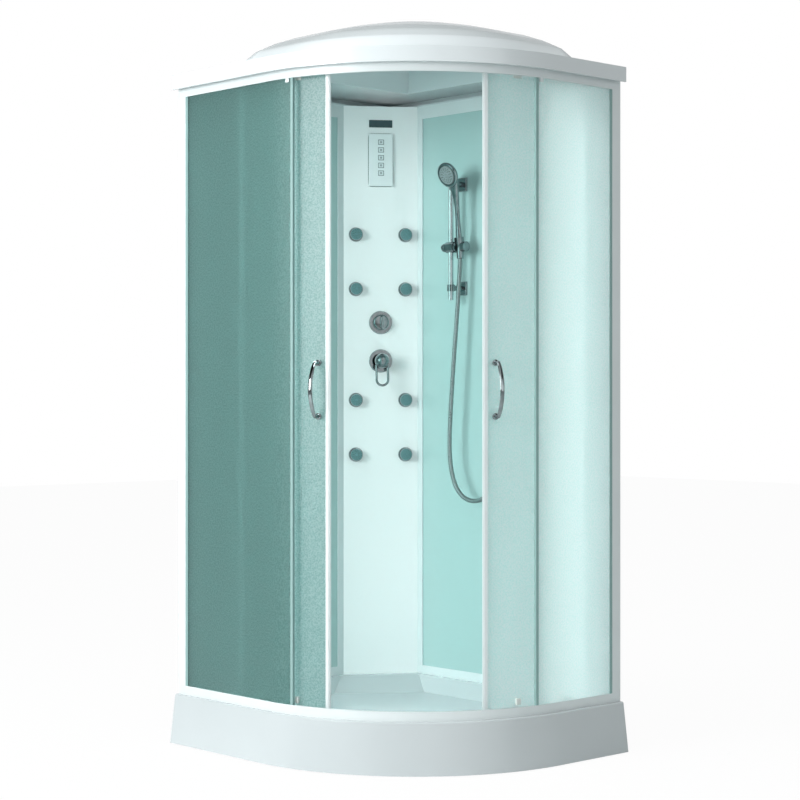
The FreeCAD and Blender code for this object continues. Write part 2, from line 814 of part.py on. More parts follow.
# Fixed glass
class Side:
    """One half of the front: which way its angles run and how long its straight stretch is."""

    def __init__(self, name, sign, tangent, straight, fixed, rest):
        self.name = name
        self.sign = sign
        self.tangent = tangent
        self.straight = straight
        self.fixed = fixed
        self.rest = rest

    def angles(self, low, high):
        """Start and sweep of a stretch whose angles are counted from the side's tangent point."""
        sweep = f"({high}) - ({low})"
        if self.sign > 0:
            return low, sweep
        return f"{self.tangent} - ({high})", sweep


# How far each door is open at rest, as a share of the way from closed to open.
LEFT_REST_SHARE, RIGHT_REST_SHARE = 0.8456, 0.7860
LEFT = Side("left", 1, "0", f"{ARC_Y} - post_width", "left_fixed_angle", LEFT_REST_SHARE)
RIGHT = Side("right", -1, "90", f"{ARC_X} - post_width", "right_fixed_angle", RIGHT_REST_SHARE)
SIDES = (LEFT, RIGHT)

GLASS_OUT = "front_radius - rail_wall - glass_margin"
GLASS_IN = f"{GLASS_OUT} - glass_thickness"
GLASS_LOW = "rim_height + rail_height - rail_slot_depth + fitting_gap"
GLASS_HIGH = "header_bottom + header_slot_depth - glass_margin"


def straight_strip(name, side, inner, outer, start, length, low, height):
    """A flat strip along the straight stretch; start counts from the tangent point towards the post."""
    if side.sign > 0:
        return box(name, f"({outer}) - ({inner})", length, height,
                   (inner, f"0 - ({start}) - ({length})", low))
    return box(name, length, f"({outer}) - ({inner})", height, (f"0 - ({start}) - ({length})", inner, low))


def fixed_glazing():
    """The two bent fixed panes, their gaskets and edge strips, and the small clips at their top corners."""
    seals, clips = [], []
    height = f"{GLASS_HIGH} - ({GLASS_LOW})"
    clear = f"header_bottom - ({RAIL_TOP})"
    for side in SIDES:
        grip = f"{side.straight} + post_channel - glass_margin"
        start, sweep = side.angles("0", side.fixed)
        bent = sector(f"{side.name}_bend", GLASS_IN, GLASS_OUT, height, GLASS_LOW, start, sweep)
        flat = straight_strip(f"{side.name}_flat", side, GLASS_IN, GLASS_OUT, "0", grip, GLASS_LOW, height)
        finished(f"fixed_glass_{side.name}", joined(f"{side.name}_fixed_glass", [flat, bent]),
                 CORNER.multiply(ARC))
        seals.append(straight_strip(
            f"{side.name}_gasket", side, GLASS_OUT, f"{GLASS_OUT} + gasket_thickness",
            f"{side.straight} - gasket_width", "gasket_width", RAIL_TOP, clear))
        strip_in = f"{GLASS_IN} - fitting_gap - strip_wall"
        strip_out = f"{GLASS_OUT} + fitting_gap + strip_wall"
        start, sweep = side.angles(f"{side.fixed} - strip_grip_angle",
                                   f"{side.fixed} - strip_grip_angle + strip_angle")
        strip = sector(f"{side.name}_strip", strip_in, strip_out, clear, RAIL_TOP, start, sweep)
        start, sweep = side.angles(f"{side.fixed} - strip_angle",
                                   f"{side.fixed} + strip_grip_angle * {PLAY_SHARE}")
        groove = sector(f"{side.name}_strip_groove", f"{GLASS_IN} - fitting_gap",
                        f"{GLASS_OUT} + fitting_gap",
                        f"{clear} + 2 * overrun", f"{RAIL_TOP} - overrun", start, sweep)
        seals.append(cut(f"{side.name}_edge_strip", strip, [groove]))
        clip_at = f"{side.fixed} - clip_setback_angle"
        start, sweep = side.angles(clip_at, f"{clip_at} + clip_angle")
        clips.append(sector(f"{side.name}_clip", GLASS_OUT, f"{GLASS_OUT} + clip_depth", "clip_height",
                            "header_bottom - clip_height", start, sweep))
    finished("glazing_seals", grouped("GlazingSeals", seals), CORNER.multiply(ARC))
    finished("glass_clips", grouped("GlassClips", clips), CORNER.multiply(ARC))


# Doors
def solve(miss, low, high):
    """The value between low and high where the miss changes sign."""
    rising = miss(high) > miss(low)
    for _ in range(60):
        middle = (low + high) / 2
        if (miss(middle) > 0) == rising:
            high = middle
        else:
            low = middle
    return (low + high) / 2


# The leading edge's angle on an open door: at its stop, or as far as the shorter straight stretch lets it go.
FREE_STRETCH = "min(frame_width; frame_length) - front_radius - post_width - door_stop_gap"
FREE_ANGLE = f"({FREE_STRETCH}) / (front_radius - door_glass_inset) * 180 / {math.pi}"
OPEN_ANGLE = f"max(door_open_angle; door_span_angle - {FREE_ANGLE})"


def on_track(travel):
    """A point of the runners' track; travel is counted from the tangent point, back is negative."""
    radius = mm.front_radius - mm.track_inset
    if travel < 0:
        return Vector(radius, travel, 0)
    return Vector(radius * math.cos(travel / radius), radius * math.sin(travel / radius), 0)


def swing():
    """Where a door turns about, and how far, from its closed place to its open one.

    Its two runners stay on the track, which is an arc and then straight. One turn about the
    best centre for both end places keeps them on it all the way, within the play of the track.
    """
    radius = mm.front_radius - mm.track_inset
    closed = math.radians(mm.door_meeting_angle)
    ahead = on_track(closed * radius - mm.leading_runner_reach)
    behind = on_track(closed * radius - mm.trailing_runner_reach)
    chord = (ahead - behind).Length
    edge = Vector(math.cos(closed), math.sin(closed), 0) * radius

    def second(travel):
        """How far along the trailing runner is when the leading one is at travel."""
        lead = on_track(travel)
        return solve(lambda back: (lead - on_track(back)).Length - chord, travel - 2 * chord, travel)

    def turn_at(travel):
        """The door's turn with its leading runner there."""
        now = on_track(travel) - on_track(second(travel))
        was = ahead - behind
        return math.atan2(was.cross(now).z, was * now)

    def edge_angle(travel):
        """The angle of the leading edge with the leading runner there."""
        turned_edge = turned(math.degrees(turn_at(travel))).multVec(edge - ahead) + on_track(travel)
        return math.degrees(math.atan2(turned_edge.y, turned_edge.x))

    opened = number(OPEN_ANGLE)
    travel = solve(lambda t: edge_angle(t) - opened, -chord, closed * radius - mm.leading_runner_reach)
    turn = turn_at(travel)
    middle = (ahead + behind + on_track(travel) + on_track(second(travel))) * 0.25
    shift = (on_track(travel) + on_track(second(travel)) - ahead - behind) * 0.5
    centre = middle + UP.cross(shift) * (0.5 / math.tan(turn / 2))
    return centre, math.degrees(turn)


def turn_for(centre, angle):
    """The door's turn that brings its leading edge to an angle."""
    radius = mm.front_radius - mm.track_inset
    edge = turned(mm.door_meeting_angle).multVec(Vector(radius, 0, 0))

    def miss(turn):
        point = centre + turned(turn).multVec(edge - centre)
        return math.degrees(math.atan2(point.y, point.x)) - angle

    return solve(miss, -mm.door_meeting_angle, 0)


SWING_CENTRE, SWING_TURN = swing()


def door_place(side):
    """Where a door stands in the arc's frame at rest."""
    centre = SWING_CENTRE if side.sign > 0 else Vector(SWING_CENTRE.y, SWING_CENTRE.x, 0)
    rest = mm.door_meeting_angle - side.rest * (mm.door_meeting_angle - number(OPEN_ANGLE))
    turn = turn_for(SWING_CENTRE, rest)
    hinge = CORNER.multiply(ARC).multVec(centre)
    print(f"{side.name} door: hinge {hinge.x:.2f} {hinge.y:.2f}")
    print(f"{side.name} door: rest turn {-turn:.3f}, full turn {-SWING_TURN:.3f}")
    return Placement(Vector(), turned(turn * side.sign), centre)


DOOR_OUT = "front_radius - door_glass_inset"
DOOR_IN = f"{DOOR_OUT} - glass_thickness"
DOOR_LOW = "rim_height + rail_height - rail_slot_depth + door_foot_gap"
DOOR_HIGH = "header_bottom + header_slot_depth - door_head_gap"
CLAMP_HEIGHT = "rim_height + guide_cap_low + guide_cap_height / 2"
TRACK_RADIUS = "(front_radius - track_inset)"


def from_lead(side, low, high):
    """Start and sweep of a stretch of the closed door, counted back from the meeting line."""
    start = f"door_meeting_angle - door_meeting_gap_angle - ({high})"
    return side.angles(start, f"door_meeting_angle - door_meeting_gap_angle - ({low})")


def at_lead(side, back):
    """A turn to the place on the closed door that lies back from the meeting line."""
    angle = mm.door_meeting_angle - mm.door_meeting_gap_angle - back
    return turned(angle if side.sign > 0 else 90 - angle)


def door(side):
    """One sliding door with its edges, handle, runners and wheels."""
    name = side.name
    place = CORNER.multiply(ARC).multiply(door_place(side))
    height = f"{DOOR_HIGH} - ({DOOR_LOW})"
    runner_angles = [
        math.degrees(reach / (mm.front_radius - mm.track_inset))
        for reach in (mm.leading_runner_reach, mm.trailing_runner_reach)
    ]

    start, sweep = from_lead(side, "door_glass_start_angle", "door_span_angle")
    pane = sector(f"{name}_pane", DOOR_IN, DOOR_OUT, height, DOOR_LOW, start, sweep)
    holes = []
    for i, angle in enumerate(runner_angles):
        hole = rod(f"{name}_guide_hole{i}", "guide_stem_radius + hole_play",
                   "glass_thickness + 2 * overrun",
                   (f"{DOOR_IN} - overrun", "0", CLAMP_HEIGHT), ALONG_X)
        holes.append(moved(hole, Placement(Vector(), at_lead(side, angle))))
    for i in range(2):
        hole = rod(f"{name}_handle_hole{i}", "handle_post_radius + hole_play",
                   "glass_thickness + 2 * overrun",
                   (f"{DOOR_IN} - overrun", "0", f"handle_low + {i} * handle_spacing"), ALONG_X)
        holes.append(moved(hole, Placement(Vector(), at_lead(side, mm.handle_angle))))
    finished(f"{name}_door_glass", cut(f"{name}_door_pane", pane, holes), place)

    low_edge, tall = DOOR_LOW, height
    middle = f"{DOOR_OUT} - glass_thickness / 2"

    def ring(part, depth, low, high, back, ahead):
        start, sweep = from_lead(side, back, ahead)
        return sector(f"{name}_{part}", f"{middle} - ({depth})", f"{middle} + {depth}", high, low, start,
                      sweep)

    groove_depth = "glass_thickness / 2 + door_edge_play"
    profile = cut(f"{name}_profile", ring("profile_bar", "door_edge_depth / 2", low_edge, tall,
                                          "magnet_angle",
                                          "door_edge_angle + magnet_angle"),
                  [ring("profile_groove", groove_depth, f"{low_edge} - overrun", f"{tall} + 2 * overrun",
                        f"door_glass_start_angle - door_edge_play * {PLAY_SHARE}",
                        "2 * door_edge_angle + magnet_angle")])
    magnet = ring("magnet", "magnet_depth / 2", low_edge, tall, "0", "magnet_angle")
    rear = "door_span_angle"
    seal_depth = f"{groove_depth} + door_seal_wall"
    seal = cut(f"{name}_rear_seal", ring("seal_bar", seal_depth, low_edge, tall,
                                         f"{rear} - door_seal_angle",
                                         f"{rear} + door_seal_angle / 2"),
               [ring("seal_groove", groove_depth, f"{low_edge} - overrun", f"{tall} + 2 * overrun",
                     f"{rear} - 2 * door_seal_angle", f"{rear} + door_edge_play * {PLAY_SHARE}")])
    start, sweep = from_lead(side, f"{rear} + door_seal_angle / 4", f"{rear} + door_seal_angle / 2")
    fin = sector(f"{name}_seal_fin", f"{middle} + {groove_depth}", f"{DOOR_OUT} + door_seal_reach", tall,
                 low_edge,
                 start, sweep)
    finished(f"{name}_door_edge", grouped(f"{name}_edges",
                                          [profile, magnet, joined(f"{name}_seal", [seal, fin])]),
             place)

    finished(f"{name}_door_handle", handle(name),
             place.multiply(Placement(Vector(), at_lead(side, mm.handle_angle))))
    runners = []
    for i, angle in enumerate(runner_angles):
        spot = Placement(Vector(), at_lead(side, angle))
        for piece in runner(f"{name}_{i}"):
            piece.Placement = spot
            runners.append(piece)
        wheel = wheel_of(f"{name}_{i}")
        finished(f"{name}_{('front', 'rear')[i]}_wheel", wheel, place.multiply(spot))
    finished(f"{name}_door_runners", grouped(f"{name}_runners", runners), place)


def handle(name):
    """A bow handle on two posts, with collars on both faces of the glass."""
    half = "(handle_spacing / 2 + handle_overhang)"
    rise = "(handle_bow_reach - handle_end_reach)"
    curve = f"(({half} ^ 2 + {rise} ^ 2) / (2 * {rise}))"
    centre = f"{DOOR_OUT} + handle_bow_reach - {curve}"
    level = "handle_low + handle_spacing / 2"
    half_turn = math.degrees(math.asin(number(half) / number(curve)))
    lying = Rotation(Vector(1, 0, 0), 90).multiply(turned(-half_turn))
    bow = rod(f"{name}_bow", curve, "handle_width", (centre, "handle_width / 2", level), lying)
    bow.Angle = 2 * half_turn
    hollow = rod(f"{name}_bow_hollow", f"{curve} - handle_thickness", "handle_width + 2 * overrun",
                 (centre, "handle_width / 2 + overrun", level), Rotation(Vector(1, 0, 0), 90))
    pieces = [cut(f"{name}_ribbon", bow, [hollow])]
    inner = f"{DOOR_IN} - hole_play - handle_collar_height"
    post = f"{DOOR_OUT} + handle_end_reach - ({inner})"
    for i in range(2):
        z = f"handle_low + {i} * handle_spacing"
        pieces += [
            rod(f"{name}_post{i}", "handle_post_radius", post, (inner, "0", z), ALONG_X),
            rod(f"{name}_outer_collar{i}", "handle_collar_radius", "handle_collar_height",
                (f"{DOOR_OUT} + hole_play", "0", z), ALONG_X),
            rod(f"{name}_inner_collar{i}", "handle_collar_radius", "handle_collar_height", (inner, "0", z),
                ALONG_X),
        ]
    return joined(f"{name}_handle", pieces)


AXLE_HEIGHT = "header_bottom + header_slot_depth + rail_wall + wheel_radius + wheel_lift"


def wheel_of(name):
    """A grooveless nylon wheel, bored for its axle."""
    at = (f"{TRACK_RADIUS} - wheel_width / 2", "0", AXLE_HEIGHT)
    disc = rod(f"{name}_tyre", "wheel_radius", "wheel_width", at, ALONG_X)
    bore = rod(f"{name}_bore", "axle_radius + wheel_play", "wheel_width + 2 * overrun",
               (f"{TRACK_RADIUS} - wheel_width / 2 - overrun", "0", AXLE_HEIGHT), ALONG_X)
    return cut(f"{name}_wheel", disc, [bore])


def runner(name):
    """The hanger over the top of the glass with its axle, and the guide clamped through its foot."""
    inside = f"{DOOR_IN} - saddle_play"
    back = f"{inside} - hanger_gap - hanger_plate"
    low = "header_bottom - hanger_drop"
    top = f"{DOOR_HIGH} + saddle_play"
    width = "hanger_width"
    side = f"0 - {width} / 2"
    end = f"{TRACK_RADIUS} + wheel_width / 2 + axle_head_gap"
    outside = f"{DOOR_OUT} + saddle_play"
    hanger = joined(f"{name}_hanger", [
        box(f"{name}_plate", "hanger_plate", width, "hanger_drop + hanger_rise", (back, side, low)),
        box(f"{name}_block", "hanger_plate + hanger_gap", width, f"{top} + saddle_cap - ({low})",
            (back, side, low)),
        box(f"{name}_bridge", f"{outside} + saddle_wall - ({back})", width, "saddle_cap",
            (back, side, top)),
        box(f"{name}_leg", "saddle_wall", width, f"{top} + saddle_cap - ({low})", (outside, side, low)),
        rod(f"{name}_axle", "axle_radius", f"{end} + axle_head_height - ({back})",
            (back, "0", AXLE_HEIGHT), ALONG_X),
        rod(f"{name}_axle_head", "axle_head_radius", "axle_head_height", (end, "0", AXLE_HEIGHT), ALONG_X),
    ])
    shoe_low = "rim_height + rail_wall + shoe_lift"
    rear = f"{inside} - guide_gap - guide_plate"
    clamp_low = "rim_height + guide_cap_low"
    guide = joined(f"{name}_guide", [
        box(f"{name}_shoe", "shoe_width", "shoe_length", "shoe_height",
            (f"{TRACK_RADIUS} - shoe_width / 2", "0 - shoe_length / 2", shoe_low)),
        box(f"{name}_arm", f"{TRACK_RADIUS} - ({rear})", "guide_arm_width", "guide_arm_height",
            (rear, "0 - guide_arm_width / 2", shoe_low)),
        box(f"{name}_upright", "guide_plate", "guide_width",
            f"{clamp_low} + guide_cap_height - ({shoe_low})",
            (rear, "0 - guide_width / 2", shoe_low)),
        rod(f"{name}_washer", "guide_washer_radius", "guide_gap",
            (f"{rear} + guide_plate", "0", CLAMP_HEIGHT),
            ALONG_X),
        rod(f"{name}_stem", "guide_stem_radius", f"{outside} + guide_cap_depth - ({rear})",
            (rear, "0", CLAMP_HEIGHT), ALONG_X),
        box(f"{name}_cap", "guide_cap_depth", "guide_width", "guide_cap_height",
            (outside, "0 - guide_width / 2", clamp_low)),
    ])
    return hanger, guide


# Walls and column
WALL_FACE = "wall_inset - wall_glass_recess"


def wall_panel(across, side, first, last):
    """A frame of four bars with a pane in its groove; first and last are its ends along the wall."""
    height = f"{HEADER_TOP} - rim_height"
    back = "wall_inset - wall_bar_depth"
    glass = f"{WALL_FACE} - wall_glass_thickness"
    low, high = f"{RAIL_TOP} - rail_height + wall_bar_foot", f"{HEADER_TOP} - wall_bar_head"
    left = f"{first} + wall_stile"
    wide, tall = f"({last}) - wall_stile - ({left})", f"({high}) - ({low})"
    lap = "wall_glass_lap - wall_glass_gap"
    outer = wall_box(across, f"{side}_outer", "wall_bar_depth", f"({last}) - ({first})", height,
                     (back, first, "rim_height"))
    opening = wall_box(across, f"{side}_opening", "wall_bar_depth + 2 * overrun", wide, tall,
                       (f"{back} - overrun", left, low))
    groove = wall_box(across, f"{side}_groove", "wall_glass_thickness + 2 * wall_glass_gap",
                      f"{wide} + 2 * wall_glass_lap", f"{tall} + 2 * wall_glass_lap",
                      (f"{glass} - wall_glass_gap", f"{left} - wall_glass_lap", f"{low} - wall_glass_lap"))
    finished(f"{side}_wall_frame", cut(f"{side}_frame", outer, [opening, groove]), CORNER)
    pane = wall_box(across, f"{side}_pane", "wall_glass_thickness", f"{wide} + 2 * ({lap})",
                    f"{tall} + 2 * ({lap})",
                    (glass, f"{left} - ({lap})", f"{low} - ({lap})"))
    if not across:
        hole = rod("OutletHole", "outlet_body_radius + hole_play", "wall_glass_thickness + 2 * overrun",
                   (f"{glass} - overrun", "outlet_offset", "outlet_height"), ALONG_X)
        pane = cut("BackGlass", pane, [hole])
    finished(f"{side}_wall_glass", pane, CORNER)


def walls():
    """The glazed panels on the two walls."""
    wall_panel(False, "back", "column_back_reach", "frame_length - post_depth")
    wall_panel(True, "side", "column_side_reach", "frame_width - post_depth")


COLUMN_FACE = "sqrt((column_side_reach - wall_inset) ^ 2 + (column_back_reach - wall_inset) ^ 2)"
LEAN_X = f"((column_back_reach - wall_inset) / {COLUMN_FACE})"
LEAN_Y = f"((column_side_reach - wall_inset) / {COLUMN_FACE})"


def jets():
    """Places of the eight body jets: across the column, and up."""
    return [
        (f"{across} * jet_offset", f"jet_low + {group} * jet_group_pitch + {row} * jet_pitch",
         f"{word}_{rank}")
        for across, word in ((-1, "left"), (1, "right"))
        for rank, (group, row) in enumerate(((0, 0), (0, 1), (1, 0), (1, 1)), start=1)
    ]


def corner_column():
    """The folded face across the corner, with its holes for the fittings."""
    half = f"{COLUMN_FACE} / 2"
    wall, back = "column_wall", "wall_bar_depth"
    body = doc.addObject("PartDesign::Body", "Column")
    left_back = (f"0 - {LEAN_Y} * {back}", f"0 - {half} - {LEAN_X} * {back}")
    right_back = (f"0 - {LEAN_X} * {back}", f"{half} + {LEAN_Y} * {back}")
    corners = [
        ("0", f"0 - {half}"), ("0", half), right_back,
        (f"{right_back[0]} - {LEAN_Y} * {wall}", f"{right_back[1]} - {LEAN_X} * {wall}"),
        (f"0 - {wall}", f"{half} - {wall} * (1 - {LEAN_Y}) / {LEAN_X}"),
        (f"0 - {wall}", f"0 - {half} + {wall} * (1 - {LEAN_X}) / {LEAN_Y}"),
        (f"{left_back[0]} - {LEAN_X} * {wall}", f"{left_back[1]} + {LEAN_Y} * {wall}"),
        left_back,
    ]
    section = polygon_sketch(body, "ColumnSection", "XY_Plane", "rim_height", corners)
    pad = body.newObject("PartDesign::Pad", "ColumnPad")
    pad.Profile = section
    bind(pad, Length=f"{HEADER_TOP} - rim_height")
    tools = [
        rod(f"JetHole{i}", "jet_tail_radius + fitting_gap", "column_wall + 2 * overrun",
            ("0 - column_wall - overrun", across, up), ALONG_X)
        for i, (across, up, _) in enumerate(jets())
    ]
    for word, up in (("Diverter", "diverter_height"), ("Mixer", "mixer_height")):
        tools.append(rod(f"{word}Hole", "valve_radius + fitting_gap", "column_wall + 2 * overrun",
                         ("0 - column_wall - overrun", "0", up), ALONG_X))
    tools.append(box("PanelHole", "column_wall + 2 * overrun", "panel_back_width + panel_cut_play",
                     "panel_back_length + panel_cut_play",
                     ("0 - column_wall - overrun", "0 - (panel_back_width + panel_cut_play) / 2",
                      "panel_height - (panel_back_length + panel_cut_play) / 2")))
    finished("corner_column", cut("ColumnCut", body, tools), CORNER.multiply(COLUMN))


def body_jets():
    """The jets' rings with their nuts behind the column, and the eight nozzles that tilt in them."""
    rings = []
    for i, (across, up, word) in enumerate(jets()):
        ring = joined(f"Ring{i}", [
            cone(f"RingFace{i}", "jet_ring_radius", "jet_ring_radius - jet_ring_edge", "jet_ring_height",
                 ("0", across, up), ALONG_X),
            rod(f"RingTail{i}", "jet_tail_radius", "jet_tail_length", ("0 - jet_tail_length", across, up),
                ALONG_X),
        ])
        seat = ball(f"RingSeat{i}", "jet_ball_radius + jet_ball_gap", ("jet_ball_rise", across, up))
        flow = rod(f"RingBore{i}", "jet_neck_radius", "jet_tail_length + jet_ring_height",
                   ("0 - jet_tail_length - overrun", across, up), ALONG_X)
        rings.append(cut(f"JetRing{i}", ring, [seat, flow]))
        nut = hexagon(f"JetNut{i}", "jet_nut_radius", "jet_nut_height",
                      ("0 - column_wall - jet_nut_height", across, up), ALONG_X)
        bore = rod(f"JetNutBore{i}", "jet_tail_radius + stem_play", "jet_nut_height + 2 * overrun",
                   ("0 - column_wall - jet_nut_height - overrun", across, up), ALONG_X)
        rings.append(cut(f"JetNutRing{i}", nut, [bore]))
        nozzle = joined(f"NozzleSolid{i}", [
            ball(f"NozzleBall{i}", "jet_ball_radius", ("jet_ball_rise", across, up)),
            rod(f"NozzleNeck{i}", "jet_neck_radius", "jet_head_rise - jet_ball_rise + jet_head_height / 2",
                ("jet_ball_rise", across, up), ALONG_X),
            cone(f"NozzleHead{i}", "jet_head_radius", "jet_head_radius - jet_ring_edge", "jet_head_height",
                 ("jet_head_rise", across, up), ALONG_X),
        ])
        hole = rod(f"NozzleHole{i}", "jet_hole_radius", "jet_head_rise + jet_head_height + jet_ball_radius",
                   ("0 - jet_ball_radius", across, up), ALONG_X)
        finished(f"jet_nozzle_{word}", cut(f"Nozzle{i}", nozzle, [hole]), CORNER.multiply(COLUMN))
    finished("jet_rings", grouped("JetRings", rings), CORNER.multiply(COLUMN))


def manifold():
    """The pipes behind the column.

    They are two risers to the jets, the link between the valves, and the hand shower's feed.
    """
    depth = "0 - riser_setback"
    pieces = []
    stub = "riser_setback - jet_tail_length"
    top = "jet_low + jet_group_pitch + jet_pitch"
    for sign, word in ((-1, "Left"), (1, "Right")):
        y = f"{sign} * jet_offset"
        run = [rod(f"{word}Riser", "pipe_radius", f"{top} - jet_low + 2 * pipe_radius",
                   (depth, y, "jet_low - pipe_radius"))]
        for group in (0, 1):
            for row in (0, 1):
                z = f"jet_low + {group} * jet_group_pitch + {row} * jet_pitch"
                run.append(rod(f"{word}Stub{group}{row}", "branch_radius", stub, (depth, y, z), ALONG_X))
        cross_low = "0 - jet_offset" if sign < 0 else "valve_radius + fitting_gap"
        run.append(rod(f"{word}Cross", "branch_radius", "jet_offset - valve_radius - fitting_gap",
                       (depth, cross_low, "diverter_height"), ALONG_Y))
        pieces.append(joined(f"{word}Pipes", run))
    link_low = "mixer_height + valve_radius + fitting_gap"
    pieces.append(rod("ValveLink", "pipe_radius",
                      f"diverter_height - valve_radius - fitting_gap - ({link_low})",
                      (depth, "0", link_low)))
    pieces = [moved(piece, COLUMN) for piece in pieces]

    riser = COLUMN.multVec(Vector(-mm.riser_setback, mm.jet_offset, mm.outlet_height))
    back = Vector(mm.feed_setback, riser.y, mm.outlet_height)
    turn_point = Vector(mm.feed_setback, mm.outlet_offset, mm.outlet_height)
    tail = mm.wall_inset - mm.wall_glass_recess - mm.wall_glass_thickness - mm.fitting_gap
    end = Vector(tail, mm.outlet_offset, mm.outlet_height)
    begin = Vector(riser.x - mm.pipe_radius - mm.fitting_gap, riser.y, mm.outlet_height)
    runs = [Part.makeCylinder(mm.feed_radius, (b - a).Length, a, b - a)
            for a, b in ((begin, back), (back, turn_point), (turn_point, end))]
    elbows = [Part.makeSphere(mm.feed_radius, point) for point in (back, turn_point)]
    feed = shaped("FeedPipe", runs[0].multiFuse(runs[1:] + elbows).removeSplitter())
    finished("water_manifold", grouped("Manifold", pieces + [feed]), CORNER)


def moved(thing, place):
    """The piece at another place, as one piece of a group."""
    group = grouped(f"{thing.Name}Moved", [thing])
    group.Placement = place
    return group


def wall_plate(name, up):
    """A round plate on the column with its bevelled edge, and the valve behind it."""
    return [
        cone(f"{name}Plate", "plate_radius", "plate_radius - plate_edge", "plate_height", ("0", "0", up),
             ALONG_X),
        rod(f"{name}Valve", "valve_radius", "valve_depth", ("0 - valve_depth", "0", up), ALONG_X),
    ]


def stem_bore(name, up):
    """The bore that a valve's stem turns in."""
    return rod(f"{name}StemBore", "stem_radius + stem_play", "stem_reach + plate_height + 2 * overrun",
               ("0 - stem_reach - overrun", "0", up), ALONG_X)


def diverter():
    """The diverter: its plate and valve, and the ridged knob."""
    up = "diverter_height"
    body = cut("DiverterBody", joined("DiverterSolid", wall_plate("Diverter", up)),
               [stem_bore("Diverter", up)])
    finished("diverter_body", body, CORNER.multiply(COLUMN))
    face = "plate_height + fitting_gap"
    knob = joined("DiverterKnob", [
        cone("KnobDisc", "diverter_knob_radius", "diverter_knob_radius - plate_edge",
             "diverter_knob_height",
             (face, "0", up), ALONG_X),
        box("KnobGrip", "diverter_knob_height + diverter_grip_rise", "diverter_grip_width",
            "diverter_grip_length",
            (face, "0 - diverter_grip_width / 2", f"{up} - diverter_grip_length / 2")),
        rod("KnobStem", "stem_radius", f"stem_reach + {face}", ("0 - stem_reach", "0", up), ALONG_X),
    ])
    finished("diverter_knob", knob, CORNER.multiply(COLUMN))


def mixer():
    """The mixer: body with its inlets, the stem that turns, and the domed lever that lifts on it."""
    up = "mixer_height"
    depth = "0 - riser_setback"
    parts = wall_plate("Mixer", up)
    parts.append(rod("MixerCross", "pipe_radius", "inlet_spacing + 2 * pipe_radius",
                     (depth, "0 - inlet_spacing / 2 - pipe_radius", up), ALONG_Y))
    for i, sign in enumerate((-1, 1)):
        y = f"{sign} * inlet_spacing / 2"
        seat = f"{depth} - inlet_neck_length"
        parts += [
            rod(f"InletNeck{i}", "inlet_neck_radius", "inlet_neck_length", (seat, y, up), ALONG_X),
            rod(f"InletTail{i}", "inlet_radius", "inlet_length", (f"{seat} - inlet_length", y, up),
                ALONG_X),
        ]
    body = cut("MixerBody", joined("MixerSolid", parts), [stem_bore("Mixer", up)])
    finished("mixer_body", body, CORNER.multiply(COLUMN))

    face = "plate_height + fitting_gap"
    pivot = "mixer_dome_rise"
    stem = joined("MixerStemSolid", [
        rod("StemRod", "stem_radius", f"stem_reach + {face}", ("0 - stem_reach", "0", up), ALONG_X),
        rod("StemCollar", "mixer_collar_radius", "mixer_collar_height", (face, "0", up), ALONG_X),
        rod("StemNeck", "mixer_neck_radius", f"{pivot} + mixer_pin_radius * 2 - ({face})", (face, "0", up),
            ALONG_X),
    ])
    eye = rod("StemEye", "mixer_pin_radius + mixer_pin_play", "2 * mixer_neck_radius + 2 * overrun",
              (pivot, "0 - mixer_neck_radius - overrun", up), ALONG_Y)
    finished("mixer_stem", cut("MixerStem", stem, [eye]), CORNER.multiply(COLUMN))

    inner = "mixer_dome_radius - mixer_dome_wall"
    dome = cut("DomeShell", ball("DomeOuter", "mixer_dome_radius", (pivot, "0", up)), [
        ball("DomeInner", inner, (pivot, "0", up)),
        box("DomeBack", "mixer_dome_radius", "2 * mixer_dome_radius", "2 * mixer_dome_radius",
            (f"{pivot} - mixer_dome_skirt - mixer_dome_radius", "0 - mixer_dome_radius",
             f"{up} - mixer_dome_radius")),
    ])
    pin = rod("DomePin", "mixer_pin_radius", f"2 * ({inner}) + mixer_dome_wall",
              (pivot, f"0 - ({inner}) - mixer_dome_wall / 2", up), ALONG_Y)
    lean = math.degrees(math.atan2(mm.lever_splay,
                                   mm.lever_reach - mm.lever_root_drop - mm.lever_half_width))
    drop = "(lever_reach - lever_root_drop - lever_half_width - lever_rod_radius)"
    loop = doc.addObject("Part::Torus", "LeverBow")
    bind(loop, Radius1="lever_half_width", Radius2="lever_rod_radius")
    loop.Angle3 = 180
    loop.Placement = Placement(
        Vector(mm.mixer_dome_rise + mm.lever_splay, 0, mm.mixer_height - mm.lever_root_drop - number(drop)),
        Rotation(Vector(0, -1, 0), UP * -1, Vector(1, 0, 0), "XYZ"))
    legs = []
    slope = Rotation(Vector(0, 1, 0), 180 - lean)
    for i, sign in enumerate((-1, 1)):
        root = Vector(mm.mixer_dome_rise, sign * mm.lever_half_width, mm.mixer_height - mm.lever_root_drop)
        foot = Vector(mm.mixer_dome_rise + mm.lever_splay, root.y, root.z - number(drop))
        legs.append(shaped(f"LeverLeg{i}", Part.makeCylinder(
            mm.lever_rod_radius, (root - foot).Length, foot, root - foot)))
        legs.append(ball(f"LeverKnee{i}", "lever_rod_radius",
                         ("mixer_dome_rise + lever_splay", f"{sign} * lever_half_width",
                          f"{up} - lever_root_drop - {drop}")))
    finished("mixer_lever", joined("MixerLever", [dome, pin, loop] + legs), CORNER.multiply(COLUMN))


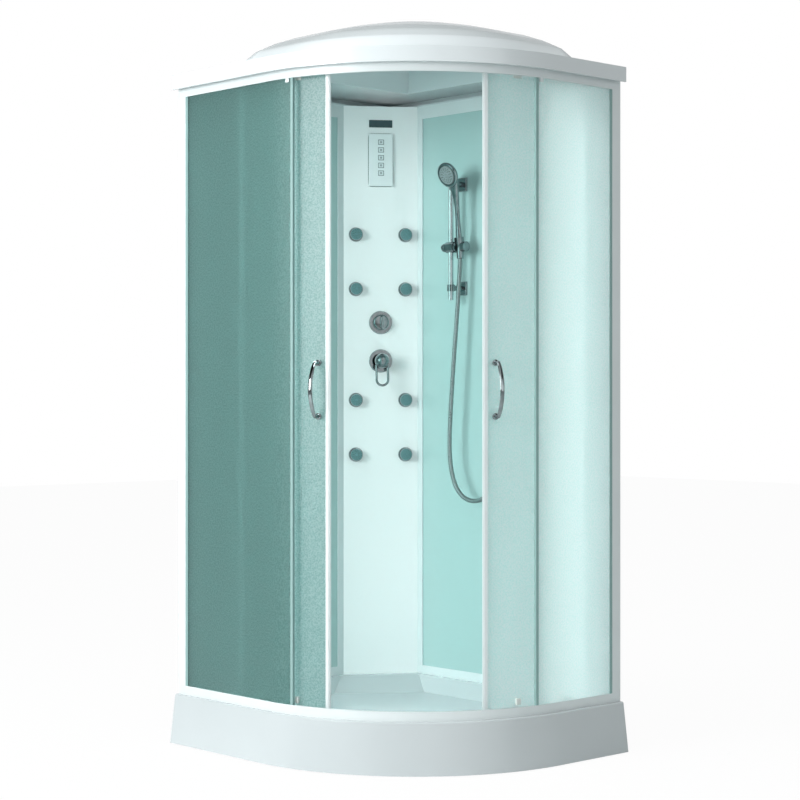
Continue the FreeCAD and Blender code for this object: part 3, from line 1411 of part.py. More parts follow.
def control_panel():
    """The control box with its five soft pads, and the bare plate above it."""
    up = "panel_height"
    front = box("PanelFront", "panel_depth", "panel_width", "panel_length",
                ("0", "0 - panel_width / 2", f"{up} - panel_length / 2"))
    bezel = rounded("PanelBezel", front, "panel_edge", lambda edge: edge.BoundBox.XMin > mm.panel_depth / 2)
    rear = box("PanelRear", "panel_back_depth + panel_depth / 2", "panel_back_width", "panel_back_length",
               ("0 - panel_back_depth", "0 - panel_back_width / 2", f"{up} - panel_back_length / 2"))
    recesses, pads = [], []
    for i in range(5):
        z = f"{up} + key_top_rise - {i} * key_pitch - key_length / 2"
        recesses.append(box(
            f"KeyRecess{i}", "key_sink + overrun", "key_width + 2 * key_gap", "key_length + 2 * key_gap",
            ("panel_depth - key_sink", "0 - key_width / 2 - key_gap", f"{z} - key_gap")))
        pad = box(f"KeyPad{i}", "key_rise + key_sink", "key_width", "key_length",
                  ("panel_depth - key_sink", "0 - key_width / 2", z))
        pads.append(pad)
    finished("control_box", cut("ControlBox", joined("ControlSolid", [bezel, rear]), recesses),
             CORNER.multiply(COLUMN))
    finished("control_keys", grouped("ControlKeys", pads), CORNER.multiply(COLUMN))
    plate = box("BadgePlain", "badge_depth", "badge_width", "badge_length",
                ("0", "0 - badge_width / 2", "badge_height - badge_length / 2"))
    finished("badge_plate", rounded("BadgePlate", plate, "badge_depth / 2",
                                    lambda edge: edge.BoundBox.XLength > mm.badge_depth / 2),
             CORNER.multiply(COLUMN))


# Hand shower
RAIL_X, RAIL_Y = "slide_rail_out", "slide_rail_offset"


def slide_rail():
    """The rail of the hand shower and its two brackets on the glass of the back wall."""
    bar = rod("RailBar", "slide_rail_radius", "slide_rail_length", (RAIL_X, RAIL_Y, "slide_rail_bottom"))
    finished("slide_rail", bar, CORNER)
    brackets = []
    for i, z in enumerate(("bracket_low_height", "bracket_high_height")):
        base = box(f"BracketBase{i}", "bracket_base_depth", "bracket_base_width", "bracket_base_height",
                   (WALL_FACE, f"{RAIL_Y} - bracket_base_width / 2", f"{z} - bracket_base_height / 2"))
        soft = rounded(f"BracketSoft{i}", base, "bracket_base_depth / 2",
                       lambda edge: edge.BoundBox.XMin > number(f"{WALL_FACE} + bracket_base_depth / 2"))
        solid = joined(f"BracketSolid{i}", [
            soft,
            rod(f"BracketArm{i}", "bracket_arm_radius", f"{RAIL_X} - ({WALL_FACE})",
                (WALL_FACE, RAIL_Y, z), ALONG_X),
            rod(f"BracketEye{i}", "bracket_eye_radius", "bracket_eye_height",
                (RAIL_X, RAIL_Y, f"{z} - bracket_eye_height / 2")),
        ])
        bore = rod(f"BracketBore{i}", "slide_rail_radius + stem_play", "bracket_eye_height + 2 * overrun",
                   (RAIL_X, RAIL_Y, f"{z} - bracket_eye_height / 2 - overrun"))
        brackets.append(cut(f"Bracket{i}", solid, [bore]))
    finished("rail_brackets", grouped("RailBrackets", brackets), CORNER)


def slider():
    """The slider on the rail with its knob, and the socket that tilts on its end."""
    z = "slider_height"
    left, right = f"{RAIL_Y} - slider_left_reach", f"{RAIL_Y} + slider_right_reach"
    solid = joined("SliderSolid", [
        rod("SliderBody", "slider_radius", "slider_left_reach + slider_right_reach", (RAIL_X, left, z),
            ALONG_Y),
        ball("SliderKnob", "slider_knob_radius", (RAIL_X, f"{RAIL_Y} - slider_knob_offset", z)),
        rod("SliderPin", "cradle_pin_radius", "cradle_pin_length + slider_right_reach",
            (RAIL_X, RAIL_Y, z), ALONG_Y),
    ])
    bore = rod("SliderBore", "slide_rail_radius + slider_play", "2 * slider_radius + 2 * overrun",
               (RAIL_X, RAIL_Y, f"{z} - slider_radius - overrun"))
    finished("rail_slider", cut("RailSlider", solid, [bore]), CORNER)

    tilt = CORNER.multiply(TILT)
    first = "slider_right_reach + cradle_gap - cradle_offset"
    grip = joined("CradleSolid", [
        rod("CradleTube", "cradle_radius", "cradle_length", ("0", "0", "cradle_foot")),
        rod("CradleHub", "cradle_cap_radius", f"0 - ({first})", ("0", first, "0"), ALONG_Y),
        rod("CradleCap", "cradle_cap_radius", "cradle_radius + cradle_cap_length", ("0", "0", "0"),
            ALONG_Y),
    ])
    tools = [
        cone("CradleBore", "handset_root_low + cradle_play", "handset_root_high + cradle_play",
             "cradle_length",
             ("0", "0", "cradle_foot")),
        box("CradleWell", "2 * cradle_cap_radius + 2 * overrun", "2 * (hose_nut_radius + cradle_well_play)",
            "cradle_cap_radius + cradle_foot + overrun",
            ("0 - cradle_cap_radius - overrun", "0 - hose_nut_radius - cradle_well_play",
             "0 - cradle_cap_radius - overrun")),
        rod("CradleCrown", "handset_root_high + cradle_play", "2 * overrun",
            ("0", "0", "cradle_foot + cradle_length")),
        box("CradleMouth", "cradle_radius + overrun", "cradle_mouth",
            "cradle_length + cradle_cap_radius + 3 * overrun",
            ("0", "0 - cradle_mouth / 2", "0 - cradle_cap_radius - overrun")),
        rod("CradlePinBore", "cradle_pin_radius + cradle_pin_play", "cradle_pin_length + 2 * overrun",
            ("0", f"{first} - overrun", "0"), ALONG_Y),
    ]
    finished("handset_cradle", cut("HandsetCradle", grip, tools), tilt)


# Where the socket tilts: on the slider's axis, beside the rail, leaning out of the wall.
TILT = Placement(
    Vector(mm.slide_rail_out, mm.slide_rail_offset + mm.cradle_offset, mm.slider_height),
    Rotation(Vector(0, 1, 0), mm.handset_lean_angle),
)


# Shares of the hand shower: the stub under the ball, the coned back of the head, and where the
# throat meets it.
STUB_SHARE, BACK_SHARE, THROAT_SHARE = 0.9, 0.6, 0.7


def hand_shower():
    """The hand shower: tapered root in the socket, slim handle, round head, and the spray face that turns."""
    tilt = CORNER.multiply(TILT)
    crown = "cradle_foot + cradle_length"
    forward = mm.handset_head_depth * BACK_SHARE
    head = Placement(
        Vector(forward, 0, mm.handset_reach),
        Rotation(Vector(0, 1, 0), 90 + mm.handset_tilt_angle - mm.handset_lean_angle))
    throat = f"handset_reach - handset_head_radius * {THROAT_SHARE}"
    body = [
        ball("HandsetBall", "handset_ball_radius", ("0", "0", "0")),
        rod("HandsetStub", f"handset_ball_radius * {STUB_SHARE}", "cradle_foot", ("0", "0", "0")),
        cone("HandsetRoot", "handset_root_low", "handset_root_high", "cradle_length",
             ("0", "0", "cradle_foot")),
        cone("HandsetTaper", "handset_root_high", "handset_neck_radius", f"handset_neck_rise - ({crown})",
             ("0", "0", crown)),
        cone("HandsetThroat", "handset_neck_radius", "handset_throat_radius",
             f"{throat} - handset_neck_rise",
             ("0", "0", "handset_neck_rise")),
    ]
    back = cone("HeadBack", "handset_back_radius", "handset_head_radius",
                f"handset_head_depth * {BACK_SHARE}",
                ("0", "0", "0 - handset_head_depth"))
    rim_depth = f"handset_head_depth * (1 - {BACK_SHARE})"
    rim = rod("HeadRim", "handset_head_radius", rim_depth, ("0", "0", f"0 - {rim_depth}"))
    seat = rod("HeadSeat", "handset_face_radius + handset_face_gap", "handset_face_depth + overrun",
               ("0", "0", "0 - handset_face_depth - handset_face_gap"))
    cap = cut("HandsetHead", joined("HeadSolid", [back, rim]), [seat])
    cap.Placement = head
    neck = joined("HandsetHandle", body)
    hollow = rod("HeadHollow", "handset_face_radius + handset_face_gap", "4 * handset_head_radius",
                 ("0", "0", "0 - handset_face_depth - handset_face_gap"))
    hollow = moved(hollow, head)
    finished("handset", cut("Handset", joined("HandsetSolid", [neck, cap]), [hollow]), tilt)

    face = joined("SprayFace", [
        rod("FaceDisc", "handset_face_radius", "handset_face_depth + handset_face_rise / 2",
            ("0", "0", "0 - handset_face_depth")),
        cone("FaceBevel", "handset_face_radius", "handset_face_radius - handset_face_rise",
             "handset_face_rise / 2",
             ("0", "0", "handset_face_rise / 2")),
    ])
    finished("spray_face", face, tilt.multiply(head))
    print("spray face axis", tilt.multiply(head).multVec(Vector(0, 0, 0)),
          tilt.multiply(head).Rotation.multVec(UP))

    nut_top = "0 - hose_nut_lip"
    nut = rod("NutBody", "hose_nut_radius", "hose_nut_length - hose_nut_lip",
              ("0", "0", "0 - hose_nut_length"))
    cup = ball("NutCup", "handset_ball_radius + fitting_gap", ("0", "0", "0"))
    upright = CORNER.multiply(Placement(TILT.Base, Rotation()))
    finished("hose_nut", cut("HoseNut", nut, [cup]), upright)


def hose_outlet():
    """The elbow on the back wall that feeds the hose, with the hose's nut under it."""
    y, z = "outlet_offset", "outlet_height"
    pieces = [
        cone("OutletBase", "outlet_base_radius", "outlet_base_radius - plate_edge", "outlet_base_depth",
             (WALL_FACE, y, z), ALONG_X),
        rod("OutletTube", "outlet_body_radius", "outlet_out + wall_glass_thickness",
            (f"{WALL_FACE} - wall_glass_thickness", y, z), ALONG_X),
        ball("OutletElbow", "outlet_body_radius", (f"{WALL_FACE} + outlet_out", y, z)),
        hexagon("OutletNut", "outlet_nut_radius", "outlet_nut_length",
                (f"{WALL_FACE} + outlet_out", y, f"{z} - outlet_body_radius / 2 - outlet_nut_length")),
    ]
    finished("hose_outlet", joined("HoseOutlet", pieces), CORNER)


# The hose's route, from the nut under the hand shower to the nut of its outlet.
HOSE_ROUTE = (
    (93.0, 409.0, 1312.0),
    (98.0, 395.5, 1140.0),
    (101.0, 384.0, 975.0),
    (102.5, 378.0, 860.0),
    (103.0, 388.0, 778.0),
    (104.0, 416.0, 722.0),
    (104.0, 460.0, 695.0),
    (103.0, 512.0, 697.0),
    (100.0, 556.0, 726.0),
    (96.0, 583.0, 780.0),
    (91.0, 596.0, 860.0),
    (87.0, 600.0, 980.0),
    (84.5, 597.5, 1150.0),
)


# How much of the shorter run beside a bend its arc takes.
BEND_SHARE = 0.45


def shower_hose():
    """The hose: straight runs joined by arcs as large as the runs allow."""
    start = TILT.Base - Vector(0, 0, mm.hose_nut_length)
    end = Vector(number(f"{WALL_FACE} + outlet_out"), mm.outlet_offset,
                 number("outlet_height - outlet_body_radius / 2 - outlet_nut_length"))
    straight = Vector(0, 0, mm.hose_end_length)
    route = [start, start - straight] + [Vector(*point) for point in HOSE_ROUTE] + [end - straight, end]
    edges, here, radii = [], route[0], []
    for before, corner, after in zip(route, route[1:], route[2:]):
        arrive, leave = (corner - before).normalize(), (after - corner).normalize()
        turn = arrive.getAngle(leave)
        cutback = BEND_SHARE * min((corner - before).Length, (after - corner).Length)
        radii.append(cutback / math.tan(turn / 2))
        enter, exit_ = corner - arrive * cutback, corner + leave * cutback
        bisector = (leave - arrive).normalize()
        middle = corner + bisector * (radii[-1] / math.cos(turn / 2) - radii[-1])
        edges += [Part.LineSegment(here, enter).toShape(), Part.Arc(enter, middle, exit_).toShape()]
        here = exit_
    edges.append(Part.LineSegment(here, end).toShape())
    path = Part.Wire(edges)
    section = Part.Wire([Part.Circle(start, route[1] - start, mm.hose_radius).toShape()])
    tube = path.makePipeShell([section], True, False)
    ideal = math.pi * mm.hose_radius ** 2 * path.Length
    print("hose radii", [round(radius) for radius in radii], "length", round(path.Length, 1),
          "volume share", round(tube.Volume / ideal, 4))
    finished("shower_hose", shaped("ShowerHose", tube), CORNER)


# Roof
# Where the dome starts behind each wall's edge, and how much further its crown is, as shares of
# the straight sides.
DOME_BACK_SHARE, DOME_BACK_SPAN_SHARE = 0.47, 0.40
DOME_SIDE_SHARE, DOME_SIDE_SPAN_SHARE = 0.55, 0.32
# Shares of the dome's rise, of its front inset and of its wall inset, from its foot to its crown.
DOME_SHARES = (
    (0.00, 0.00, 0.00), (0.30, 0.11, 0.19), (0.48, 0.24, 0.34), (0.62, 0.38, 0.48),
    (0.76, 0.57, 0.65), (0.88, 0.77, 0.81), (0.96, 0.92, 0.94), (1.00, 1.00, 1.00),
)


def roof():
    """The moulded roof: a band round the header and a dome behind it, hollow underneath."""
    body = doc.addObject("PartDesign::Body", "Roof")
    out, wall, top = "0 - roof_overhang", "roof_wall", "roof_lip_top"
    rise = f"(roof_top - {top})"
    span = "(front_radius - dome_front_inset - dome_crown_radius)"

    def section(name, height, front, back, side):
        return plan_outline(body, name, height, front, back, side)

    def dome(name, thickness):
        """The dome's outlines, or those of its inside when it has a thickness."""
        made = []
        for i, (up, front, walls) in enumerate(DOME_SHARES):
            made.append(section(
                f"{name}{i}", f"{top} + {rise} * {up} - {thickness}",
                f"dome_front_inset + {front} * {span} + {thickness}",
                f"({ARC_X}) * {DOME_BACK_SHARE + walls * DOME_BACK_SPAN_SHARE} + {thickness}",
                f"({ARC_Y}) * {DOME_SIDE_SHARE + walls * DOME_SIDE_SPAN_SHARE} + {thickness}",
            ))
        return made

    loft(body, "Band", "Additive", [
        section("BandFoot", "roof_lip_bottom", out, "0", "0"), section("BandTop", top, out, "0", "0")])
    doc.recompute()
    loft(body, "Dome", "Additive", dome("Dome", "0"))
    doc.recompute()
    inner = f"{out} + {wall}"
    seat = HEADER_TOP
    loft(body, "Socket", "Subtractive", [
        section("SocketFoot", "roof_lip_bottom - overrun", inner, "0 - overrun", "0 - overrun"),
        section("SocketTop", seat, inner, "0 - overrun", "0 - overrun")])
    doc.recompute()
    ledge, shelf = "rail_depth", "wall_inset"
    loft(body, "Mouth", "Subtractive", [
        section("MouthFoot", f"{seat} - overrun", ledge, shelf, shelf),
        section("MouthTop", f"{seat} + {wall} + fitting_gap", ledge, shelf, shelf)])
    doc.recompute()
    loft(body, "Attic", "Subtractive", [
        section("AtticFoot", f"{seat} + {wall}", inner, wall, wall),
        section("AtticTop", f"{top} - {wall}", inner, wall, wall)])
    doc.recompute()
    loft(body, "Vault", "Subtractive", dome("Vault", wall))
    finished("roof_shell", body, CORNER)


for build in (
    tray_shell, waste, underframe, front_rails, posts, fixed_glazing, lambda: door(LEFT),
    lambda: door(RIGHT),
    walls, corner_column, body_jets, manifold, diverter, mixer, control_panel, slide_rail, slider,
    hand_shower,
    hose_outlet, shower_hose, roof,
):
    build()


def check_and_write():
    """Stops on any failed feature or bad shape, then writes one file for each sub-part."""
    doc.recompute()
    for thing in doc.Objects:
        if {"Invalid", "Error"} & set(thing.State):
            raise RuntimeError(f"{thing.Name} ({thing.Label}) failed: {thing.State}")
    for label, thing in PARTS.items():
        shape = thing.Shape
        if shape.isNull() or not shape.isValid():
            raise RuntimeError(f"{label} has no valid shape")
        print(f"{label}: {len(shape.Solids)} solids, {shape.Volume / 1000:.1f} cm3")
    for label, thing in PARTS.items():
        thing.Shape.exportStep(f"parts/{label}.step")


check_and_write()
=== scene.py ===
"""The looks of a quadrant shower cabin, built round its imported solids."""
import logging
import math
from dataclasses import dataclass, field
from enum import Enum
from typing import Sequence

import bmesh
import bpy
from bmesh.types import BMesh
from bpy.types import ID, Material, Mesh, Node, NodeSocket, NodeTree, Object
from mathutils import Matrix, Vector


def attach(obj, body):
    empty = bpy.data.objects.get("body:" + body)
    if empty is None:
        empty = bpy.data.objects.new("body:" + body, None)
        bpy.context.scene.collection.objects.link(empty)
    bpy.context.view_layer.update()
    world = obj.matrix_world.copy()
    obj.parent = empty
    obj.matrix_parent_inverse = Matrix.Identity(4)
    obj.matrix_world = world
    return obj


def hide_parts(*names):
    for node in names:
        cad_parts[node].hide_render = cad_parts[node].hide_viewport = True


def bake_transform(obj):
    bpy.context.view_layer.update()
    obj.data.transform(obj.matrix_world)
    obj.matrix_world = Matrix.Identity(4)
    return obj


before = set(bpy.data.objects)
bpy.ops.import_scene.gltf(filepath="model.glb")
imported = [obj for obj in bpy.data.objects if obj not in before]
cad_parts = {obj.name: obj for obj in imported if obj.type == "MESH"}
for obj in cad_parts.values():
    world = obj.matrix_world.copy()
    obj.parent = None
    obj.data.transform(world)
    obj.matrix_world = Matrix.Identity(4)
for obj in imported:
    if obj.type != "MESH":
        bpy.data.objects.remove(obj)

logging.basicConfig(level=logging.INFO, format="%(message)s")
log = logging.getLogger("shower_cabin")

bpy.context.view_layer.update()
MM = 0.001
UP = Vector((0.0, 0.0, 1.0))
# Radius and height pairs in mm, for a turned form
Outline = tuple[tuple[float, float], ...]


def fixed(x: float, y: float, z: float) -> Vector:
    """Return a vector as a dataclass's default."""
    return field(default_factory=lambda: Vector((x, y, z)))


# Colours and nodes
def linear(hex_colour: str) -> tuple[float, float, float, float]:
    """Turn an sRGB hex colour into linear light.

    Args:
        hex_colour: Six digits with a leading hash.

    Returns:
        Red, green, blue and an alpha of one.
    """
    parts = [int(hex_colour[i:i + 2], 16) / 255 for i in (1, 3, 5)]
    red, green, blue = [c / 12.92 if c <= 0.04045 else ((c + 0.055) / 1.055) ** 2.4 for c in parts]
    return red, green, blue, 1.0


def add(tree: NodeTree, kind: str, wires: dict | None = None, **settings: object) -> Node:
    """Add one node with its settings, values and links.

    Args:
        tree: The tree that takes the node.
        kind: The node's type name.
        wires: Input name or number to a value or to another node's output.
        settings: The node's own properties.

    Returns:
        The new node.
    """
    made = tree.nodes.new(kind)
    for name, value in settings.items():
        setattr(made, name, value)
    for key, value in (wires or {}).items():
        if isinstance(value, NodeSocket):
            tree.links.new(value, made.inputs[key])
        else:
            made.inputs[key].default_value = value
    return made


class Grain(Enum):
    """The small relief that a surface's making leaves."""

    FINE = "fine"
    PEEL = "peel"
    BRUSHED = "brushed"
    NONE = "none"


# Finishes
@dataclass(frozen=True)
class Finish:
    """A solid finish: a ground colour with slight mottling, its gloss and its grain.

    Args:
        name: The material's name.
        colour: Ground colour.
        other: Colour that the mottling leans to.
        mottle_mm: Size of the mottling.
        roughness: Middle roughness.
        spread: How far the roughness wanders.
        metallic: One for bare metal.
        coat: Clear top coat.
        ior: Index of refraction, left alone for metals.
        grain: Kind of relief.
        grain_mm: Size of the relief.
        grain_depth_mm: Depth of the relief.
        edge_mm: How far upper edges are softened in the shading.
        edge_above_mm: Height above which they are.
        edge_ramp_mm: Height over which the softening grows to its full reach.
    """

    name: str
    colour: str
    other: str
    mottle_mm: float = 60.0
    roughness: float = 0.3
    spread: float = 0.05
    metallic: float = 0.0
    coat: float = 0.0
    ior: float = 1.5
    grain: Grain = Grain.NONE
    grain_mm: float = 1.0
    grain_depth_mm: float = 0.02
    edge_mm: float = 0.0
    edge_above_mm: float = 0.0
    edge_ramp_mm: float = 15.0

    def soft_edges(self, tree: NodeTree, place: NodeSocket) -> NodeSocket:
        """Build a normal that rounds the upper edges, only on faces that look up.

        Args:
            tree: The material's tree.
            place: Object coordinates.

        Returns:
            The rounded normal.
        """
        start = self.edge_above_mm * MM
        height = add(tree, "ShaderNodeSeparateXYZ", {"Vector": place})
        reach = add(tree, "ShaderNodeMapRange", {
            "Value": height.outputs["Z"], "From Min": start, "From Max": start + self.edge_ramp_mm * MM,
            "To Min": 0.0, "To Max": self.edge_mm * MM})
        normal = add(tree, "ShaderNodeNewGeometry").outputs["True Normal"]
        facing = add(tree, "ShaderNodeSeparateXYZ", {"Vector": normal})
        # Upright faces stay hard, and so does the ceiling inside.
        least = 0.02
        outer = add(tree, "ShaderNodeMath", {0: facing.outputs["Z"], 1: least}, operation="GREATER_THAN")
        radius = add(tree, "ShaderNodeMath", {
            0: reach.outputs["Result"], 1: outer.outputs[0]}, operation="MULTIPLY")
        return add(tree, "ShaderNodeBevel", {"Radius": radius.outputs[0]}, samples=8).outputs[0]

    def relief(self, tree: NodeTree, place: NodeSocket) -> NodeSocket | None:
        """Build the relief's normal.

        Args:
            tree: The material's tree.
            place: Object coordinates.

        Returns:
            A normal, or None for a smooth surface.
        """
        if self.grain is Grain.NONE:
            return None
        # Brushed lines run upwards: their noise is drawn out along z.
        stretch = (1.0, 1.0, 0.04) if self.grain is Grain.BRUSHED else (1.0, 1.0, 1.0)
        spot = add(tree, "ShaderNodeMapping", {"Vector": place, "Scale": stretch})
        noise = add(tree, "ShaderNodeTexNoise", {
            "Vector": spot.outputs[0], "Scale": 1.0 / (self.grain_mm * MM),
            "Detail": 1.0 if self.grain is Grain.PEEL else 3.0})
        wires = {"Height": noise.outputs["Fac"], "Strength": 1.0, "Distance": self.grain_depth_mm * MM}
        if self.edge_mm:
            wires["Normal"] = self.soft_edges(tree, place)
        return add(tree, "ShaderNodeBump", wires).outputs[0]

    def surface(self, tree: NodeTree) -> NodeSocket:
        """Build the shader.

        Args:
            tree: The material's tree.

        Returns:
            The shader's output.
        """
        place = add(tree, "ShaderNodeTexCoord").outputs["Object"]
        cloud = add(tree, "ShaderNodeTexNoise", {
            "Vector": place, "Scale": 1.0 / (self.mottle_mm * MM), "Detail": 2.0}).outputs["Fac"]
        tone = add(tree, "ShaderNodeMix", {
            "Factor": cloud, "A": linear(self.colour), "B": linear(self.other)}, data_type="RGBA")
        gloss = add(tree, "ShaderNodeMapRange", {
            "Value": cloud, "To Min": self.roughness - self.spread, "To Max": self.roughness + self.spread})
        shader = add(tree, "ShaderNodeBsdfPrincipled", {
            "Base Color": tone.outputs["Result"], "Roughness": gloss.outputs["Result"],
            "Metallic": self.metallic, "Coat Weight": self.coat, "Coat Roughness": 0.05})
        if self.metallic == 0:
            shader.inputs["IOR"].default_value = self.ior
        normal = self.relief(tree, place)
        if normal:
            tree.links.new(normal, shader.inputs["Normal"])
        return shader.outputs[0]

    def material(self) -> Material:
        """Make the finish's material on first use, and find it again after that.

        Returns:
            The material.
        """
        known = bpy.data.materials.get(self.name)
        if known:
            return known
        made = bpy.data.materials.new(self.name)
        made.use_nodes = True
        made.node_tree.nodes.clear()
        add(made.node_tree, "ShaderNodeOutputMaterial", {"Surface": self.surface(made.node_tree)})
        return made


@dataclass(frozen=True)
class SpeckledGlass(Finish):
    """Rolled glass: tinted, with a fine grain on both faces that hides what is behind it.

    Args:
        grain_mm: Size of the grain, drawn coarser than it is, so that it shows.
        clear: Share of the light that goes through.
        milky: Share of the face that scatters light from behind.
        shade: Tint of what shines through it on other things.
    """

    roughness: float = 0.42
    ior: float = 1.45
    grain_mm: float = 4.5
    grain_depth_mm: float = 0.6
    clear: float = 0.9
    milky: float = 0.3
    shade: str = "#FAFEFE"

    def surface(self, tree: NodeTree) -> NodeSocket:
        """Build the shader: rough tinted glass that lets lamp light through.

        Args:
            tree: The material's tree.

        Returns:
            The shader's output.
        """
        place = add(tree, "ShaderNodeTexCoord").outputs["Object"]
        speck = add(tree, "ShaderNodeTexNoise", {
            "Vector": place, "Scale": 1.0 / (self.grain_mm * MM), "Detail": 2.0,
            "Roughness": 0.6}).outputs["Fac"]
        # The noise's middle range is stretched, so that single specks stand out.
        tone = add(tree, "ShaderNodeMapRange", {"Value": speck, "From Min": 0.38, "From Max": 0.62})
        blend = add(tree, "ShaderNodeMix", {
            "Factor": tone.outputs["Result"], "A": linear(self.colour),
            "B": linear(self.other)}, data_type="RGBA")
        bump = add(tree, "ShaderNodeBump", {
            "Height": speck, "Strength": 1.0, "Distance": self.grain_depth_mm * MM})
        pane = add(tree, "ShaderNodeBsdfPrincipled", {
            "Base Color": blend.outputs["Result"], "Roughness": self.roughness, "Normal": bump.outputs[0],
            "Transmission Weight": self.clear, "IOR": self.ior})
        scatter = add(tree, "ShaderNodeBsdfTranslucent", {
            "Color": blend.outputs["Result"], "Normal": bump.outputs[0]})
        body = add(tree, "ShaderNodeMixShader", {0: self.milky, 1: pane.outputs[0], 2: scatter.outputs[0]})
        through = add(tree, "ShaderNodeBsdfTransparent", {"Color": linear(self.shade)})
        ray = add(tree, "ShaderNodeLightPath")
        mixed = add(tree, "ShaderNodeMixShader", {
            0: ray.outputs["Is Shadow Ray"], 1: body.outputs[0], 2: through.outputs[0]})
        return mixed.outputs[0]


# Acrylic, vacuum formed over a mould: wet gloss with a faint orange peel. Its white is greyed as painted
# shade.
ACRYLIC = Finish("acrylic_formed_white_painted_shade", "#C0C8CA", "#BBC3C5", mottle_mm=220, roughness=0.16, spread=0.03,
                 coat=0.3, ior=1.49, grain=Grain.PEEL, grain_mm=14, grain_depth_mm=0.05)
# The same sheet drawn into the roof, whose slopes run softly into each other. It is greyed less than the
# tray's copy, as lighter painted shade.
ROOF_ACRYLIC = Finish("acrylic_formed_roof_white_painted_shade", "#CFD7D9", "#CAD2D4", mottle_mm=220, roughness=0.2,
                      spread=0.03, coat=0.2, ior=1.49, grain=Grain.PEEL, grain_mm=14, grain_depth_mm=0.05,
                      edge_mm=40.0, edge_above_mm=1947.0)
# Acrylic sheet of the column, cast flat: even gloss.
COLUMN_SHEET = Finish("acrylic_sheet_white", "#F6F9F9", "#F2F6F6", mottle_mm=260, roughness=0.22, spread=0.03,
                      coat=0.2, ior=1.49, grain=Grain.PEEL, grain_mm=22, grain_depth_mm=0.03)
# Extruded aluminium, powder coated: satin with a fine tooth.
COATED = Finish("aluminium_powder_coated_white", "#D8E0E1", "#D0D9DA", mottle_mm=120, roughness=0.34,
                coat=0.1, grain=Grain.FINE, grain_mm=1.6, grain_depth_mm=0.012)
# Zinc and brass castings, chromium plated: mirror bright with slight waves. Its grey ground and dark mottling
# are painted reflection of dark surroundings.
CHROME = Finish("brass_chromium_plated_painted_reflection", "#A3ACAE", "#6B7578", mottle_mm=16, roughness=0.08, spread=0.04,
                metallic=1.0, grain=Grain.PEEL, grain_mm=9, grain_depth_mm=0.02)
# Drawn steel tube, chromium plated: bright, with faint lines along its length.
CHROME_TUBE = Finish("steel_tube_chromium_plated", "#D3D8DA", "#B4BBBE", mottle_mm=10, roughness=0.12,
                     spread=0.04, metallic=1.0, grain=Grain.BRUSHED, grain_mm=0.8, grain_depth_mm=0.006)
# Steel strip, wound into a hose: duller than the castings.
HOSE_STEEL = Finish("steel_strip_wound", "#9BA5A5", "#788484", mottle_mm=6, roughness=0.3, spread=0.08,
                    metallic=1.0)
# ABS, moulded and silver sprayed: even satin.
SILVER_ABS = Finish("abs_moulded_silver", "#EDF3F4", "#E6EDEE", mottle_mm=30, roughness=0.3, spread=0.04,
                    grain=Grain.FINE, grain_mm=0.9, grain_depth_mm=0.01)
# Polyester film over the keys, embossed: flat and half matt.
KEY_FILM = Finish("polyester_film_keys", "#DDE5E6", "#D4DDDF", mottle_mm=8, roughness=0.38, spread=0.04)
# Soft PVC, extruded: pale and dull.
PALE_PVC = Finish("pvc_extruded_pale", "#88A8A6", "#7F9F9D", mottle_mm=40, roughness=0.5)
# Rubber of the panel's gasket, moulded, and the ink on the keys: dark and dull.
DARK_RUBBER = Finish("rubber_moulded_dark", "#4A5658", "#414D4F", mottle_mm=20, roughness=0.55)
# Steel strip of the plate over the panel, under a dark film: a soft metal shine.
DARK_FILM = Finish("steel_strip_dark_film", "#4F6165", "#465A5E", mottle_mm=14, roughness=0.3, spread=0.06,
                   metallic=0.6)
# ABS of the nozzles, moulded in a blue-green grey: satin.
NOZZLE_ABS = Finish("abs_moulded_teal_grey", "#6A9799", "#527E81", mottle_mm=5, roughness=0.35, spread=0.08)
# ABS of the spray plate, moulded in grey: satin.
SPRAY_ABS = Finish("abs_moulded_spray_grey", "#8A9697", "#768283", mottle_mm=9, roughness=0.35)
# Silicone of the nubs, moulded: nearly black and matt. The same dark marks the spray plate's middle holes as
# painted shade.
NUB = Finish("silicone_nubs_dark", "#2C3C3E", "#223032", mottle_mm=4, roughness=0.55)
# Polypropylene of trap and feet, moulded: black with a waxy half gloss.
BLACK_PP = Finish("polypropylene_black", "#22272A", "#1B1F22", mottle_mm=30, roughness=0.5, spread=0.06,
                  grain=Grain.FINE, grain_mm=1.2, grain_depth_mm=0.02)
# Polypropylene of the pipes, extruded: light grey and smooth.
PIPE_PP = Finish("polypropylene_grey", "#C9CCC8", "#BEC2BE", mottle_mm=30, roughness=0.42)
# Nylon of the wheels and the runners, moulded: waxy white.
NYLON = Finish("nylon_moulded_white", "#DDE1DE", "#D3D8D5", mottle_mm=12, roughness=0.4, spread=0.04)
# Hot-dip galvanised steel: grey with large dull spangles.
GALVANISED = Finish("steel_hot_dip_galvanised", "#A4A9AC", "#82888B", mottle_mm=14, roughness=0.42,
                    spread=0.12, metallic=1.0)
# Float glass, mint enamel fired on the back: deep gloss.
WALL_GLASS = Finish("glass_float_mint_enamel", "#ABC7C5", "#A5C3C1", mottle_mm=300, roughness=0.2,
                    spread=0.03, coat=0.6, ior=1.52, grain=Grain.FINE, grain_mm=3.0, grain_depth_mm=0.01)
# Rolled glass with a sprayed grain, in three copies whose tints and milky shares are painted light and shade:
# milky mint where light comes through it, smoky where the wall behind it lies in the shade, and hazy between.
GLASS_PAINTED_LIGHT = SpeckledGlass("glass_rolled_speckled_painted_light", "#EBF8F7", "#FFFFFF", milky=0.5)
GLASS_PAINTED_SHADE = SpeckledGlass("glass_rolled_speckled_painted_shade", "#6F9A96", "#97BAB7", milky=0.1)
GLASS_PAINTED_HALF_SHADE = SpeckledGlass("glass_rolled_speckled_painted_half_shade", "#9DC2BF", "#CFE3E2", milky=0.22)


